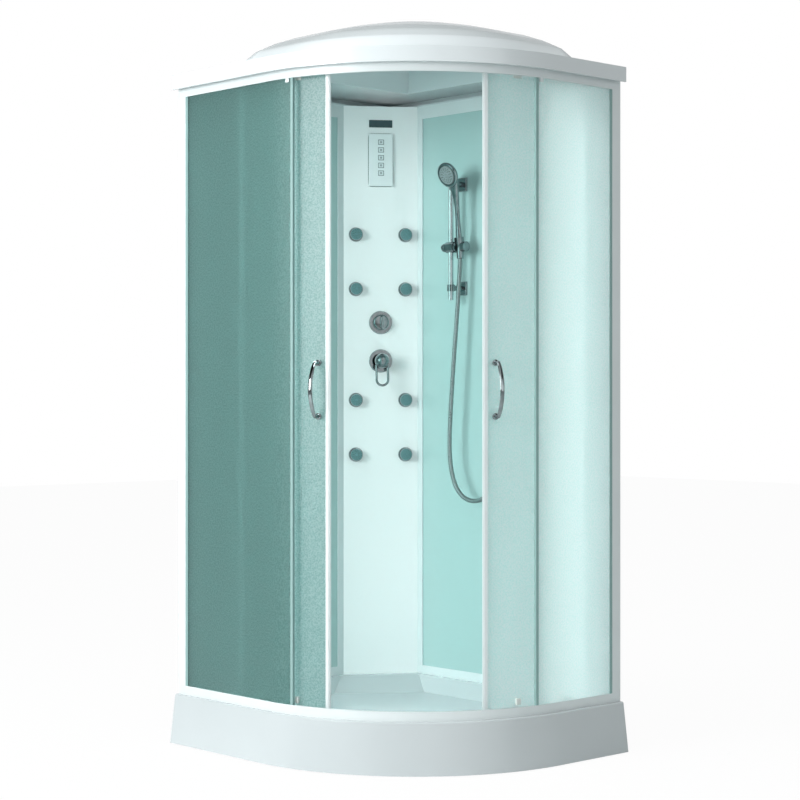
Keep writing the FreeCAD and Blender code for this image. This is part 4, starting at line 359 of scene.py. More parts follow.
# Meshes
def linked(name: str, data: ID) -> Object:
    """Put new data into the scene.

    Args:
        name: The object's name.
        data: Its mesh, curve, lamp or camera.

    Returns:
        The object.
    """
    made = bpy.data.objects.new(name, data)
    bpy.context.scene.collection.objects.link(made)
    return made


def piece(name: str, mesh: Mesh, finish: Finish, smooth_deg: float = 35.0) -> Object:
    """Link a mesh as a piece with its finish.

    Args:
        name: The piece's name.
        mesh: Its mesh, already in place.
        finish: Its finish.
        smooth_deg: Edges flatter than this are shaded smooth.

    Returns:
        The piece.
    """
    mesh.materials.clear()
    mesh.materials.append(finish.material())
    mesh.shade_smooth()
    mesh.set_sharp_from_angle(angle=math.radians(smooth_deg))
    return linked(name, mesh)


def formed(name: str, maker: BMesh, finish: Finish) -> Object:
    """Close a bmesh with its faces outwards and link it as a piece.

    Args:
        name: The piece's name.
        maker: The bmesh, used up here.
        finish: The piece's finish.

    Returns:
        The piece.
    """
    bmesh.ops.remove_doubles(maker, verts=maker.verts, dist=1e-6)
    bmesh.ops.recalc_face_normals(maker, faces=maker.faces)
    mesh = bpy.data.meshes.new(name)
    maker.to_mesh(mesh)
    maker.free()
    return piece(name, mesh, finish)


def stand(origin: Vector, axis: Vector, side: Vector = UP) -> Matrix:
    """Return a place whose z runs along an axis and whose x lies towards a side.

    Args:
        origin: Where it stands.
        axis: Its z direction.
        side: Rough x direction, never along the axis itself.

    Returns:
        The place.
    """
    z = axis.normalized()
    x = (side - z * side.dot(z)).normalized()
    y = z.cross(x)
    return Matrix.Translation(origin) @ Matrix((x, y, z)).transposed().to_4x4()


def loop_rows(maker: BMesh, rows: Sequence[Sequence[Vector]], ends: bool = True) -> None:
    """Skin rings of points that run one after another.

    Args:
        maker: Takes the faces.
        rows: Rings of equal count.
        ends: Whether the first and last ring are closed with a face.
    """
    rings = [[maker.verts.new(p) for p in row] for row in rows]
    count = len(rings[0])
    for low, high in zip(rings, rings[1:]):
        for i in range(count):
            j = (i + 1) % count
            maker.faces.new((low[i], low[j], high[j], high[i]))
    if ends:
        maker.faces.new(rings[0])
        maker.faces.new(rings[-1])


def lathe(maker: BMesh, outline: Outline, place: Matrix, segments: int) -> None:
    """Turn an outline about a place's z.

    Args:
        maker: Takes the faces.
        outline: The outline; an end of radius zero is closed with a ring too small to see.
        place: Where the axis stands.
        segments: Steps round.
    """
    least_mm = 0.01
    rows = []
    for radius, height in outline:
        reach = max(radius, least_mm) * MM
        rows.append([place @ Vector((reach * math.cos(math.tau * i / segments),
                                     reach * math.sin(math.tau * i / segments), height * MM))
                     for i in range(segments)])
    loop_rows(maker, rows)


def oval(width: float, depth: float, square: float, count: int = 28) -> list[tuple[float, float]]:
    """Return a squared oval's outline.

    Args:
        width: Full width.
        depth: Full depth.
        square: Two for an ellipse, more for squarer.
        count: Points round.

    Returns:
        Pairs across and along.
    """
    out = []
    for i in range(count):
        turn = math.tau * i / count
        c, s = math.cos(turn), math.sin(turn)
        out.append((math.copysign(abs(c) ** (2 / square), c) * width / 2,
                    math.copysign(abs(s) ** (2 / square), s) * depth / 2))
    return out


@dataclass(frozen=True)
class Station:
    """One section of a swept form.

    Args:
        at: Its middle.
        width: Size along the side direction.
        depth: Size along the other direction.
        square: How square it is.
    """

    at: Vector
    width: float
    depth: float
    square: float = 2.0


def smooth_between(stations: Sequence[Station], steps: int) -> list[Station]:
    """Fill in stations on a smooth line through the given ones, a Catmull-Rom spline.

    Args:
        stations: The given stations.
        steps: Steps between two of them.

    Returns:
        All stations.
    """
    rows = [Vector((*s.at, s.width, s.depth, s.square)) for s in stations]
    last = len(rows) - 1
    out = []
    for i in range(last):
        a, b, c, d = rows[max(i - 1, 0)], rows[i], rows[i + 1], rows[min(i + 2, last)]
        for k in range(steps):
            t = k / steps
            now = 0.5 * (2 * b + (c - a) * t + (2 * a - 5 * b + 4 * c - d) * t * t
                         + (3 * b - a - 3 * c + d) * t ** 3)
            out.append(Station(Vector(now[:3]), *now[3:]))
    return [*out, stations[-1]]


def sweep(maker: BMesh, stations: Sequence[Station], side: Vector) -> None:
    """Skin stations, each square to the line they make.

    Args:
        maker: Takes the faces.
        stations: The stations in order.
        side: Direction of their widths.
    """
    rows = []
    for i, station in enumerate(stations):
        ahead = stations[min(i + 1, len(stations) - 1)].at - stations[max(i - 1, 0)].at
        place = stand(station.at, ahead, side)
        rows.append([place @ Vector((x, y, 0.0))
                     for x, y in oval(station.width, station.depth, station.square)])
    loop_rows(maker, rows)


def baked(name: str, group: NodeTree, mesh: Mesh, sizes: dict[str, object]) -> Mesh:
    """Run a geometry node tree on a mesh and keep its result as a plain mesh.

    Args:
        name: The result's name.
        group: The tree.
        mesh: What it starts from.
        sizes: Input name to value.

    Returns:
        The result.
    """
    carrier = linked(f"{name}_carrier", mesh)
    modifier = carrier.modifiers.new("Pattern", "NODES")
    modifier.node_group = group
    for item in group.interface.items_tree:
        if item.item_type == "SOCKET" and item.in_out == "INPUT" and item.name in sizes:
            modifier[item.identifier] = sizes[item.name]
    seen = carrier.evaluated_get(bpy.context.evaluated_depsgraph_get())
    result = bpy.data.meshes.new_from_object(seen)
    result.name = name
    carrier.modifiers.remove(modifier)
    bpy.data.objects.remove(carrier)
    return result


def tree_with(name: str, inputs: dict[str, tuple[str, float | None]]) -> tuple[NodeTree, Node, Node]:
    """Start a geometry node tree with a geometry in and out and named inputs.

    Args:
        name: The tree's name.
        inputs: Input name to socket type and default, None where it has none.

    Returns:
        The tree, its input node and its output node.
    """
    group = bpy.data.node_groups.new(name, "GeometryNodeTree")
    group.interface.new_socket("Geometry", in_out="INPUT", socket_type="NodeSocketGeometry")
    for word, (kind, value) in inputs.items():
        socket = group.interface.new_socket(word, in_out="INPUT", socket_type=kind)
        if value is not None:
            socket.default_value = value
    group.interface.new_socket("Geometry", in_out="OUTPUT", socket_type="NodeSocketGeometry")
    return group, add(group, "NodeGroupInput"), add(group, "NodeGroupOutput")


def nub_tree() -> NodeTree:
    """Build the tree that sets a small domed nub on every point of a mesh, along its normal.

    Returns:
        The tree, made on first use.
    """
    known = bpy.data.node_groups.get("Nubs")
    if known:
        return known
    group, entry, leave = tree_with("Nubs", {
        "Radius": ("NodeSocketFloat", 0.001), "Rise": ("NodeSocketFloat", 0.001),
        "Finish": ("NodeSocketMaterial", None)})
    bead = add(group, "GeometryNodeMeshUVSphere", {"Segments": 10, "Rings": 6, "Radius": 1.0})
    size = add(group, "ShaderNodeCombineXYZ", {
        "X": entry.outputs["Radius"], "Y": entry.outputs["Radius"], "Z": entry.outputs["Rise"]})
    normal = add(group, "GeometryNodeInputNormal")
    facing = add(group, "FunctionNodeAlignRotationToVector", {"Vector": normal.outputs[0]}, axis="Z")
    spread = add(group, "GeometryNodeInstanceOnPoints", {
        "Points": entry.outputs["Geometry"], "Instance": bead.outputs["Mesh"], "Rotation": facing.outputs[0],
        "Scale": size.outputs[0]})
    real = add(group, "GeometryNodeRealizeInstances", {0: spread.outputs[0]})
    done = add(group, "GeometryNodeSetMaterial", {
        "Geometry": real.outputs[0], "Material": entry.outputs["Finish"]})
    group.links.new(done.outputs[0], leave.inputs[0])
    return group


def nubs(name: str, rings: Sequence[tuple[float, int]], place: Matrix, radius: float, rise: float,
         body: str) -> None:
    """Set silicone nubs in rings on a flat face.

    Args:
        name: The piece's name.
        rings: Radius in mm and count of each ring.
        place: The face's middle, with z outwards.
        radius: A nub's radius in mm.
        rise: How far it stands out, in mm.
        body: The body that carries them.
    """
    maker = bmesh.new()
    # A tiny triangle stands for each nub and gives it the face's direction.
    tiny = 0.05 * MM
    for reach, count in rings:
        for i in range(count):
            # The reach turns each ring, so that the nubs of two rings don't line up.
            turn = math.tau * i / count + reach
            spot = Vector((reach * math.cos(turn), reach * math.sin(turn), 0.0)) * MM
            corners = [Vector((tiny, 0, 0)), Vector((-tiny, tiny, 0)), Vector((-tiny, -tiny, 0))]
            maker.faces.new([maker.verts.new(place @ (spot + c)) for c in corners])
    points = bpy.data.meshes.new(f"{name}_points")
    maker.normal_update()
    maker.to_mesh(points)
    maker.free()
    mesh = baked(name, nub_tree(), points, {
        "Radius": radius * MM, "Rise": rise * MM, "Finish": NUB.material()})
    settle(piece(name, mesh, NUB), body, "grey_plastic")


def dress(finish: Finish, *names: str) -> None:
    """Give CAD nodes a finish.

    Args:
        finish: The finish.
        names: The nodes.
    """
    for name in names:
        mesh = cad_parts[name].data
        mesh.materials.clear()
        mesh.materials.append(finish.material())
        log.info("dressed %s with %s", name, finish.name)


def settle(made: Object, body: str, slot: str, *nodes: str) -> None:
    """Let a piece ride on its body and stand for its nodes.

    Args:
        made: The piece.
        body: The body's name.
        slot: Not used.
        nodes: The CAD nodes that it replaces.
    """
    if nodes:
        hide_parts(*nodes)
    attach(made, body)
    log.info("placed %s on %s", made.name, body)


# The column's face: its middle at floor height, the way it looks, and the way across it
COLUMN_MIDDLE = Vector((-0.391, 0.29425, 0.0))
COLUMN_OUT = Vector((0.82335, -0.56753, 0.0)).normalized()
COLUMN_ACROSS = UP.cross(COLUMN_OUT)


def on_column(out_mm: float, across_mm: float, height_mm: float) -> Vector:
    """Return a point by its distance from the column's face, across it, and its height.

    Args:
        out_mm: Distance from the face.
        across_mm: Distance across, to the right.
        height_mm: Height.

    Returns:
        The point.
    """
    return COLUMN_MIDDLE + (COLUMN_OUT * out_mm + COLUMN_ACROSS * across_mm + UP * height_mm) * MM


@dataclass(frozen=True)
class Lamp:
    """One soft square lamp: its place, its side in metres, its power in watts and its colour."""

    name: str
    at: tuple[float, float, float]
    size: float
    power: float
    tint: str = "#FFFFFF"

    def hang(self, to: Vector) -> None:
        """Hang the lamp.

        Args:
            to: What it points at.
        """
        data = bpy.data.lights.new(self.name, "AREA")
        data.shape = "SQUARE"
        data.size = self.size
        data.energy = self.power
        data.color = linear(self.tint)[:3]
        made = linked(self.name, data)
        made.location = self.at
        made.rotation_euler = (to - Vector(self.at)).to_track_quat("-Z", "Y").to_euler()


@dataclass
class Studio:
    """The camera, the floor, the lamps and the background, in metres.

    Args:
        stand_at: The camera's place.
        look: Its direction.
        lens: Its focal length in mm.
        shift_y: The picture's shift.
        sky: How brightly the world lights the object.
        floor_half: Half the floor's side.
        floor_top: Its height, a hair below the tray.
        floor_white: Share of white that the camera sees on it; the rest keeps the shadow.
        aim: What the lamps point at.
        lamps: The lamps.
    """

    stand_at: Vector = fixed(4.029, -3.719, 1.023)
    look: Vector = fixed(-0.7335, 0.6797, 0.0)
    lens: float = 86.0
    shift_y: float = -0.0104
    sky: float = 0.42
    floor_half: float = 14.0
    floor_top: float = -0.0005
    floor_white: float = 0.96
    aim: Vector = fixed(0.0, 0.0, 1.1)
    lamps: tuple[Lamp, ...] = (
        Lamp("Key", at=(-0.5, -5.0, 2.1), size=2.2, power=215.0),
        Lamp("Fill", at=(4.8, -0.6, 2.0), size=2.6, power=14.0, tint="#FAFDFF"),
        Lamp("Top", at=(0.3, -1.6, 5.2), size=2.4, power=115.0))

    def camera(self) -> None:
        """Set the camera where the photograph was taken from."""
        data = bpy.data.cameras.new("Camera")
        data.lens = self.lens
        data.sensor_width = 36.0
        data.shift_y = self.shift_y
        data.clip_end = 60.0
        made = linked("Camera", data)
        made.location = self.stand_at
        made.rotation_euler = self.look.to_track_quat("-Z", "Y").to_euler()
        bpy.context.scene.camera = made

    def seen(self, tree: NodeTree) -> NodeSocket:
        """Build a value that is one for the camera's rays, straight or through glass.

        Args:
            tree: The material's or the world's tree.

        Returns:
            The value.
        """
        ray = add(tree, "ShaderNodeLightPath")
        return add(tree, "ShaderNodeMath", {
            0: ray.outputs["Is Camera Ray"], 1: ray.outputs["Is Transmission Ray"]},
            operation="MAXIMUM").outputs[0]

    def floor(self) -> None:
        """Lay the pale floor, white to the camera but still shaded."""
        maker = bmesh.new()
        maker.faces.new([maker.verts.new((x * self.floor_half, y * self.floor_half, self.floor_top))
                         for x, y in ((-1, -1), (1, -1), (1, 1), (-1, 1))])
        mesh = bpy.data.meshes.new("Floor")
        maker.to_mesh(mesh)
        maker.free()
        paint = bpy.data.materials.new("studio_floor_white")
        paint.use_nodes = True
        tree = paint.node_tree
        tree.nodes.clear()
        matt = add(tree, "ShaderNodeBsdfDiffuse", {"Color": linear("#E6EAEA")})
        glow = add(tree, "ShaderNodeEmission", {"Color": linear("#FFFFFF"), "Strength": 1.0})
        share = add(tree, "ShaderNodeMath", {0: self.seen(tree), 1: self.floor_white}, operation="MULTIPLY")
        mixed = add(tree, "ShaderNodeMixShader", {
            0: share.outputs[0], 1: matt.outputs[0], 2: glow.outputs[0]})
        add(tree, "ShaderNodeOutputMaterial", {"Surface": mixed.outputs[0]})
        mesh.materials.append(paint)
        linked("Floor", mesh)

    def background(self) -> None:
        """Make the world white to the camera and a soft grey lamp to the object."""
        world = bpy.data.worlds.new("Studio")
        world.use_nodes = True
        tree = world.node_tree
        tree.nodes.clear()
        ray = add(tree, "ShaderNodeLightPath")
        # Polished metal needs dark flags to mirror, as a photographer hangs them round chrome.
        flags = add(tree, "ShaderNodeTexNoise", {"Scale": 1.3, "Detail": 0.0})
        dark = add(tree, "ShaderNodeMapRange", {
            "Value": flags.outputs["Fac"], "From Min": 0.42, "From Max": 0.6, "To Min": 0.02, "To Max": 0.9})
        other = add(tree, "ShaderNodeMix", {
            "Factor": ray.outputs["Is Glossy Ray"], "A": self.sky, "B": dark.outputs["Result"]})
        level = add(tree, "ShaderNodeMix", {
            "Factor": self.seen(tree), "A": other.outputs["Result"], "B": 1.0})
        glow = add(tree, "ShaderNodeBackground", {
            "Color": linear("#FFFFFF"), "Strength": level.outputs["Result"]})
        add(tree, "ShaderNodeOutputWorld", {"Surface": glow.outputs[0]})
        bpy.context.scene.world = world

    def build(self) -> None:
        """Set up all of it."""
        bpy.context.scene.view_settings.view_transform = "Standard"
        self.camera()
        self.floor()
        self.background()
        for lamp in self.lamps:
            lamp.hang(self.aim)


@dataclass
class ShowerHose:
    """The wound metal hose between the slider and the wall outlet.

    Args:
        radius_mm: Its outer radius.
        ring_mm: Distance from one ring to the next.
        ring_steps: Steps of its line that a ring takes.
        groove: Depth of the groove between two rings, as a share of the radius.
        left_mm: The part's left side.
        back_mm: The part's back side.
        route_mm: Distance from the back, distance from the left and height of its control points.
    """

    radius_mm: float = 7.0
    ring_mm: float = 5.0
    ring_steps: int = 4
    groove: float = 0.12
    left_mm: float = -500.0
    back_mm: float = 433.0
    route_mm: tuple[tuple[float, float, float], ...] = (
        (91.5, 415.0, 1425.0), (93.0, 409.0, 1312.0), (98.0, 395.5, 1140.0), (101.0, 384.0, 975.0),
        (102.5, 378.0, 860.0), (103.0, 388.0, 778.0), (104.0, 416.0, 722.0), (104.0, 460.0, 695.0),
        (103.0, 512.0, 697.0), (100.0, 556.0, 726.0), (96.0, 583.0, 780.0), (91.0, 596.0, 860.0),
        (87.0, 600.0, 980.0), (84.5, 597.5, 1150.0), (84.0, 592.0, 1276.5))

    def line(self) -> list[Vector]:
        """Draw the smooth line that follows the route.

        Returns:
            The line's points.
        """
        data = bpy.data.curves.new("HoseRoute", "CURVE")
        data.dimensions = "3D"
        data.resolution_u = 24
        spline = data.splines.new("NURBS")
        spline.points.add(len(self.route_mm) - 1)
        for point, (out, along, height) in zip(spline.points, self.route_mm):
            point.co = (*Vector((self.left_mm + along, self.back_mm - out, height)) * MM, 1.0)
        spline.order_u = 3
        spline.use_endpoint_u = True
        carrier = linked("HoseRoute", data)
        mesh = bpy.data.meshes.new_from_object(carrier.evaluated_get(bpy.context.evaluated_depsgraph_get()))
        bpy.data.objects.remove(carrier)
        return [v.co.copy() for v in mesh.vertices]

    def tree(self) -> NodeTree:
        """Build the tree that winds rings of strip along the hose's line.

        Returns:
            The tree.
        """
        group, entry, leave = tree_with("WoundHose", {
            "Radius": ("NodeSocketFloat", 0.007), "Step": ("NodeSocketFloat", 0.001),
            "Rise": ("NodeSocketFloat", 0.1), "Finish": ("NodeSocketMaterial", None)})
        curve = add(group, "GeometryNodeMeshToCurve", {"Mesh": entry.outputs["Geometry"]})
        even = add(group, "GeometryNodeResampleCurve", {
            "Curve": curve.outputs[0], "Length": entry.outputs["Step"]}, mode="LENGTH")
        # Over a ring's steps the width falls from full to the groove and comes back.
        index = add(group, "GeometryNodeInputIndex")
        rise = entry.outputs["Rise"]
        turn = add(group, "ShaderNodeMath", {
            0: index.outputs[0], 1: math.tau / self.ring_steps}, operation="MULTIPLY")
        wave = add(group, "ShaderNodeMath", {0: turn.outputs[0]}, operation="COSINE")
        least = add(group, "ShaderNodeMath", {0: 1.0, 1: rise}, operation="SUBTRACT")
        size = add(group, "ShaderNodeMath", {
            0: wave.outputs[0], 1: rise, 2: least.outputs[0]}, operation="MULTIPLY_ADD")
        round_line = add(group, "GeometryNodeCurvePrimitiveCircle", {
            "Resolution": 14, "Radius": entry.outputs["Radius"]})
        tube = add(group, "GeometryNodeCurveToMesh", {
            "Curve": even.outputs[0], "Profile Curve": round_line.outputs[0], "Scale": size.outputs[0],
            "Fill Caps": True})
        real = add(group, "GeometryNodeRealizeInstances", {0: tube.outputs[0]})
        done = add(group, "GeometryNodeSetMaterial", {
            "Geometry": real.outputs[0], "Material": entry.outputs["Finish"]})
        group.links.new(done.outputs[0], leave.inputs[0])
        return group

    def build(self) -> None:
        """Make the hose in place of the imported one."""
        line = self.line()
        wire = bpy.data.meshes.new("HoseLine")
        wire.from_pydata(line, [(i, i + 1) for i in range(len(line) - 1)], [])
        mesh = baked("shower_hose_wound", self.tree(), wire, {
            "Radius": self.radius_mm * MM, "Step": self.ring_mm / self.ring_steps * MM,
            "Rise": self.groove / 2, "Finish": HOSE_STEEL.material()})
        made = piece("shower_hose_wound", mesh, HOSE_STEEL, smooth_deg=60.0)
        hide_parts("shower_hose")
        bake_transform(made)


@dataclass
class HandShower:
    """The hand shower in its cradle: handle, head and turning spray plate.

    Args:
        pivot: The cradle's tilting axis, where the handle starts.
        lean_deg: How far the handle leans forward.
        middle: The head's middle, on the spray plate's axis.
        face_axis: The way the head looks.
        handle_mm: Height, distance forward, width, depth and squareness of the handle's sections.
        head_mm: The head's outline, from its back round the lip to the plate's seat.
        plate_mm: The spray plate's outline.
        nub_rings: Radius in mm and count of its rings of nubs.
        nub_seat_mm: Height at which they sit.
        hole_ring: Radius in mm and count of its middle holes.
        hole_seat_mm: Height at which they sit.
    """

    pivot: Vector = fixed(-0.085, 0.3415, 1.461)
    lean_deg: float = 12.5
    middle: Vector = fixed(-0.085, 0.2935, 1.67586)
    face_axis: Vector = fixed(0.0, -0.92718, -0.37461)
    handle_mm: tuple[tuple[float, float, float, float, float], ...] = (
        (-7.0, 0.0, 17.5, 17.5, 2.0), (0.0, 0.0, 19.0, 19.0, 2.0), (14.0, 0.0, 20.5, 20.0, 2.0),
        (34.0, -1.4, 20.0, 18.5, 2.1), (62.0, -4.8, 16.5, 15.5, 2.2), (92.0, -9.0, 14.4, 13.5, 2.3),
        (122.0, -12.4, 16.0, 14.0, 2.4), (150.0, -14.2, 22.0, 16.0, 2.4), (176.0, -13.4, 33.0, 18.0, 2.3),
        (198.0, -10.0, 44.0, 18.0, 2.2), (212.0, -7.0, 40.0, 14.0, 2.1))
    head_mm: Outline = (
        (0, -12.0), (10, -11.8), (20, -10.4), (28, -7.6), (34, -3.6), (37.6, 1.0), (38.9, 5.0), (38.6, 7.6),
        (37.0, 9.6), (34.6, 10.8), (32.0, 11.0), (30.6, 10.4), (29.9, 9.2), (29.8, 5.0), (0, 5.0))
    plate_mm: Outline = (
        (0, 6.3), (28.6, 6.3), (29.0, 9.0), (28.4, 11.0), (27.0, 12.4), (25.4, 12.8), (24.6, 12.2),
        (24.0, 11.4), (12.0, 12.0), (9.6, 12.2), (9.0, 12.9), (7.6, 13.4), (0, 13.6))
    nub_rings: tuple[tuple[float, int], ...] = ((12.6, 9), (17.0, 12), (21.4, 16))
    nub_seat_mm: float = 11.7
    hole_ring: tuple[float, int] = (4.6, 6)
    hole_seat_mm: float = 13.4

    def head_place(self) -> Matrix:
        """Return the head's middle, with z towards its face."""
        return stand(self.middle, self.face_axis)

    def body(self) -> None:
        """Make the handle and the head's shell."""
        maker = bmesh.new()
        lean = math.radians(self.lean_deg)
        up, out = Vector((0.0, -math.sin(lean), math.cos(lean))), Vector((0.0, -1.0, 0.0))
        stations = [Station(self.pivot + (up * high + out * ahead) * MM, width * MM, depth * MM, square)
                    for high, ahead, width, depth, square in self.handle_mm]
        sweep(maker, smooth_between(stations, steps=6), side=Vector((1.0, 0.0, 0.0)))
        lathe(maker, self.head_mm, self.head_place(), segments=64)
        settle(formed("handset_skin", maker, CHROME), "cradle", "chrome", "handset")

    def spray(self) -> None:
        """Make the spray plate with its rings of nubs."""
        place = self.head_place()
        maker = bmesh.new()
        lathe(maker, self.plate_mm, place, segments=56)
        settle(formed("spray_plate_disc", maker, SPRAY_ABS), "spray_plate", "grey_plastic", "spray_face")
        face = place @ Matrix.Translation((0.0, 0.0, self.nub_seat_mm * MM))
        nubs("spray_plate_nubs", self.nub_rings, face, radius=1.25, rise=1.3, body="spray_plate")
        # The middle holes are drawn as small dark bumps: painted shade in the holes.
        centre = place @ Matrix.Translation((0.0, 0.0, self.hole_seat_mm * MM))
        nubs("spray_plate_holes_painted_shade", (self.hole_ring,), centre, radius=0.9, rise=0.5, body="spray_plate")

    def build(self) -> None:
        """Make all of it."""
        self.body()
        self.spray()
        dress(CHROME, "handset_cradle", "rail_slider", "hose_nut", "hose_outlet", "rail_brackets")
        dress(CHROME_TUBE, "slide_rail")


@dataclass
class DoorHandle:
    """A bow handle on one door.

    Args:
        name: The door's side.
        foot: Point on the glass's outer face at mid height.
        out: Direction away from the glass.
        half_mm: Half the distance between the posts.
        over_mm: How far the bow runs past each post.
        end_mm: How far its ends stand off the glass.
        bow_mm: How far its middle does.
        wide_mm: The bow's width.
        thick_mm: Its thickness.
        thin_share: How much thinner it is towards its ends, as a share.
        narrow_share: How much of that the width takes, as a share.
        tip_share: Size of the closed tip, as a share.
        post_mm: Outline of a post with its collars.
    """

    name: str
    foot: Vector
    out: Vector
    half_mm: float = 72.5
    over_mm: float = 5.0
    end_mm: float = 19.2
    bow_mm: float = 46.2
    wide_mm: float = 12.0
    thick_mm: float = 6.4
    thin_share: float = 0.35
    narrow_share: float = 0.14
    tip_share: float = 0.1
    post_mm: Outline = (
        (0, -9.8), (8.2, -9.8), (9.0, -9.2), (9.0, -7.0), (8.4, -6.4), (4.4, -6.3), (4.4, 0.3), (8.6, 0.3),
        (9.0, 0.8), (9.0, 2.8), (8.2, 3.7), (5.4, 4.4), (4.6, 6.5), (4.5, 16.0), (5.2, 20.5), (0, 21.0))

    def build(self) -> None:
        """Make the bow, its posts and their collars."""
        maker = bmesh.new()
        out, side = self.out.normalized(), UP.cross(self.out).normalized()
        reach = self.half_mm + self.over_mm
        # The bow is slimmer towards its ends and closes there in a round tip.
        stations, steps = [], 26
        for i in range(steps + 1):
            t = 2 * i / steps - 1
            near = self.end_mm + (self.bow_mm - self.end_mm) * (1 - t * t)
            swell = 1 - self.thin_share * abs(t) ** 3
            tip = self.tip_share + (1 - self.tip_share) * math.sqrt(max(0.0, 1 - abs(t) ** 14))
            at = self.foot + (out * near + UP * (t * reach)) * MM
            width = self.wide_mm * MM * (1 - self.narrow_share * (1 - swell)) * tip
            stations.append(Station(at, width, self.thick_mm * MM * swell * tip, square=2.4))
        sweep(maker, stations, side)
        for sign in (-1, 1):
            foot = self.foot + UP * (sign * self.half_mm * MM)
            lathe(maker, self.post_mm, stand(foot, out), segments=32)
        settle(formed(f"{self.name}_handle_bow", maker, CHROME), f"{self.name}_door", "chrome",
               f"{self.name}_door_handle")


@dataclass
class Doors:
    """The sliding doors: panes, edges, handles, runners and wheels.

    Args:
        left_foot: Point on the left pane's outer face, at the middle of its handle.
        left_out: The way that face looks there.
        right_foot: The same point on the right pane.
        right_out: The way its face looks there.
    """

    left_foot: Vector = fixed(0.072345, -0.354104, 1.0285)
    left_out: Vector = fixed(0.336475, -0.941692, 0.0)
    right_foot: Vector = fixed(0.416309, -0.020139, 1.0285)
    right_out: Vector = fixed(0.93254, -0.361067, 0.0)

    def build(self) -> None:
        """Dress the doors and give them their handles."""
        # The left door takes the half-shaded copy of the glass and the right door the lit copy: painted shade
        # and painted light.
        for side, glass, foot, out in (("left", GLASS_PAINTED_HALF_SHADE, self.left_foot, self.left_out),
                                       ("right", GLASS_PAINTED_LIGHT, self.right_foot, self.right_out)):
            dress(glass, f"{side}_door_glass")
            dress(COATED, f"{side}_door_edge")
            dress(NYLON, f"{side}_door_runners", f"{side}_front_wheel", f"{side}_rear_wheel")
            DoorHandle(side, foot, out).build()


@dataclass
class BodyJets:
    """Eight nozzles in two columns.

    Args:
        across_mm: Distance of a column from the middle.
        heights_mm: Heights of the nozzles, from the lowest up.
        face_mm: How far their heads stand off the column.
        plate_mm: Outline of the dotted plate on a head.
        nub_rings: Radius in mm, count and height over the plate's foot of its rings of nubs.
    """

    across_mm: float = 78.0
    heights_mm: tuple[float, ...] = (827.0, 997.0, 1343.0, 1513.0)
    face_mm: float = 20.0
    plate_mm: Outline = (
        (0, -0.4), (17.6, -0.4), (17.9, 0.3), (17.2, 1.4), (13.5, 2.4), (7.0, 3.1), (3.2, 3.3), (2.4, 2.8),
        (0, 2.7))
    nub_rings: tuple[tuple[float, int, float], ...] = ((6.2, 8, 2.8), (10.4, 12, 2.4), (14.4, 16, 1.8))

    def nozzle(self, name: str, place: Matrix) -> None:
        """Dress one nozzle and put its plate and nubs on it.

        Args:
            name: Its side and number.
            place: Its face's middle.
        """
        body = f"jet_nozzle_{name}_body"
        dress(CHROME, f"jet_nozzle_{name}")
        maker = bmesh.new()
        lathe(maker, self.plate_mm, place, segments=48)
        settle(formed(f"jet_{name}_plate", maker, NOZZLE_ABS), body, "grey_plastic")
        for reach, count, lift in self.nub_rings:
            face = place @ Matrix.Translation((0.0, 0.0, lift * MM))
            nubs(f"jet_{name}_nubs_{count}", ((reach, count),), face, radius=1.25, rise=0.9, body=body)

    def build(self) -> None:
        """Make all eight and dress their rings."""
        dress(CHROME, "jet_rings")
        for side, across in (("left", -self.across_mm), ("right", self.across_mm)):
            for number, height in enumerate(self.heights_mm, start=1):
                self.nozzle(f"{side}_{number}", stand(on_column(self.face_mm, across, height), COLUMN_OUT))


@dataclass
class Taps:
    """The diverter and the mixer on the column.

    Args:
        knob_height_mm: Height of the diverter's knob.
        knob_mm: Its outline.
        grip_mm: Length, width and depth of the grip across it.
        grip_out_mm: Distance of the grip's middle line from the column, and how far it bulges.
    """

    knob_height_mm: float = 1239.0
    knob_mm: Outline = (
        (0, 6.3), (24.0, 6.3), (25.0, 7.2), (25.0, 15.0), (24.2, 17.6), (22.2, 19.4), (19.0, 20.3), (0, 20.6))
    grip_mm: tuple[float, float, float] = (45.0, 10.0, 13.0)
    grip_out_mm: tuple[float, float] = (20.0, 6.0)

    def diverter_knob(self) -> None:
        """Make the diverter's knob with its upright grip."""
        maker = bmesh.new()
        lathe(maker, self.knob_mm, stand(on_column(0, 0, self.knob_height_mm), COLUMN_OUT), segments=64)
        (length, width, depth), (foot, bulge) = self.grip_mm, self.grip_out_mm
        # The grip's ends keep a small face instead of a point.
        grip, steps, least = [], 16, 0.03
        for i in range(steps + 1):
            t = 2 * i / steps - 1
            swell = math.sqrt(max(least, 1 - abs(t) ** 4))
            at = on_column(foot + bulge * swell, 0, self.knob_height_mm + t * length / 2)
            grip.append(Station(at, width * MM * swell, depth * MM * swell, square=3.0))
        sweep(maker, grip, COLUMN_ACROSS)
        settle(formed("diverter_knob_skin", maker, CHROME), "diverter", "chrome", "diverter_knob")

    def build(self) -> None:
        """Dress both fittings."""
        dress(CHROME, "diverter_body", "mixer_body", "mixer_stem", "mixer_lever")
        self.diverter_knob()


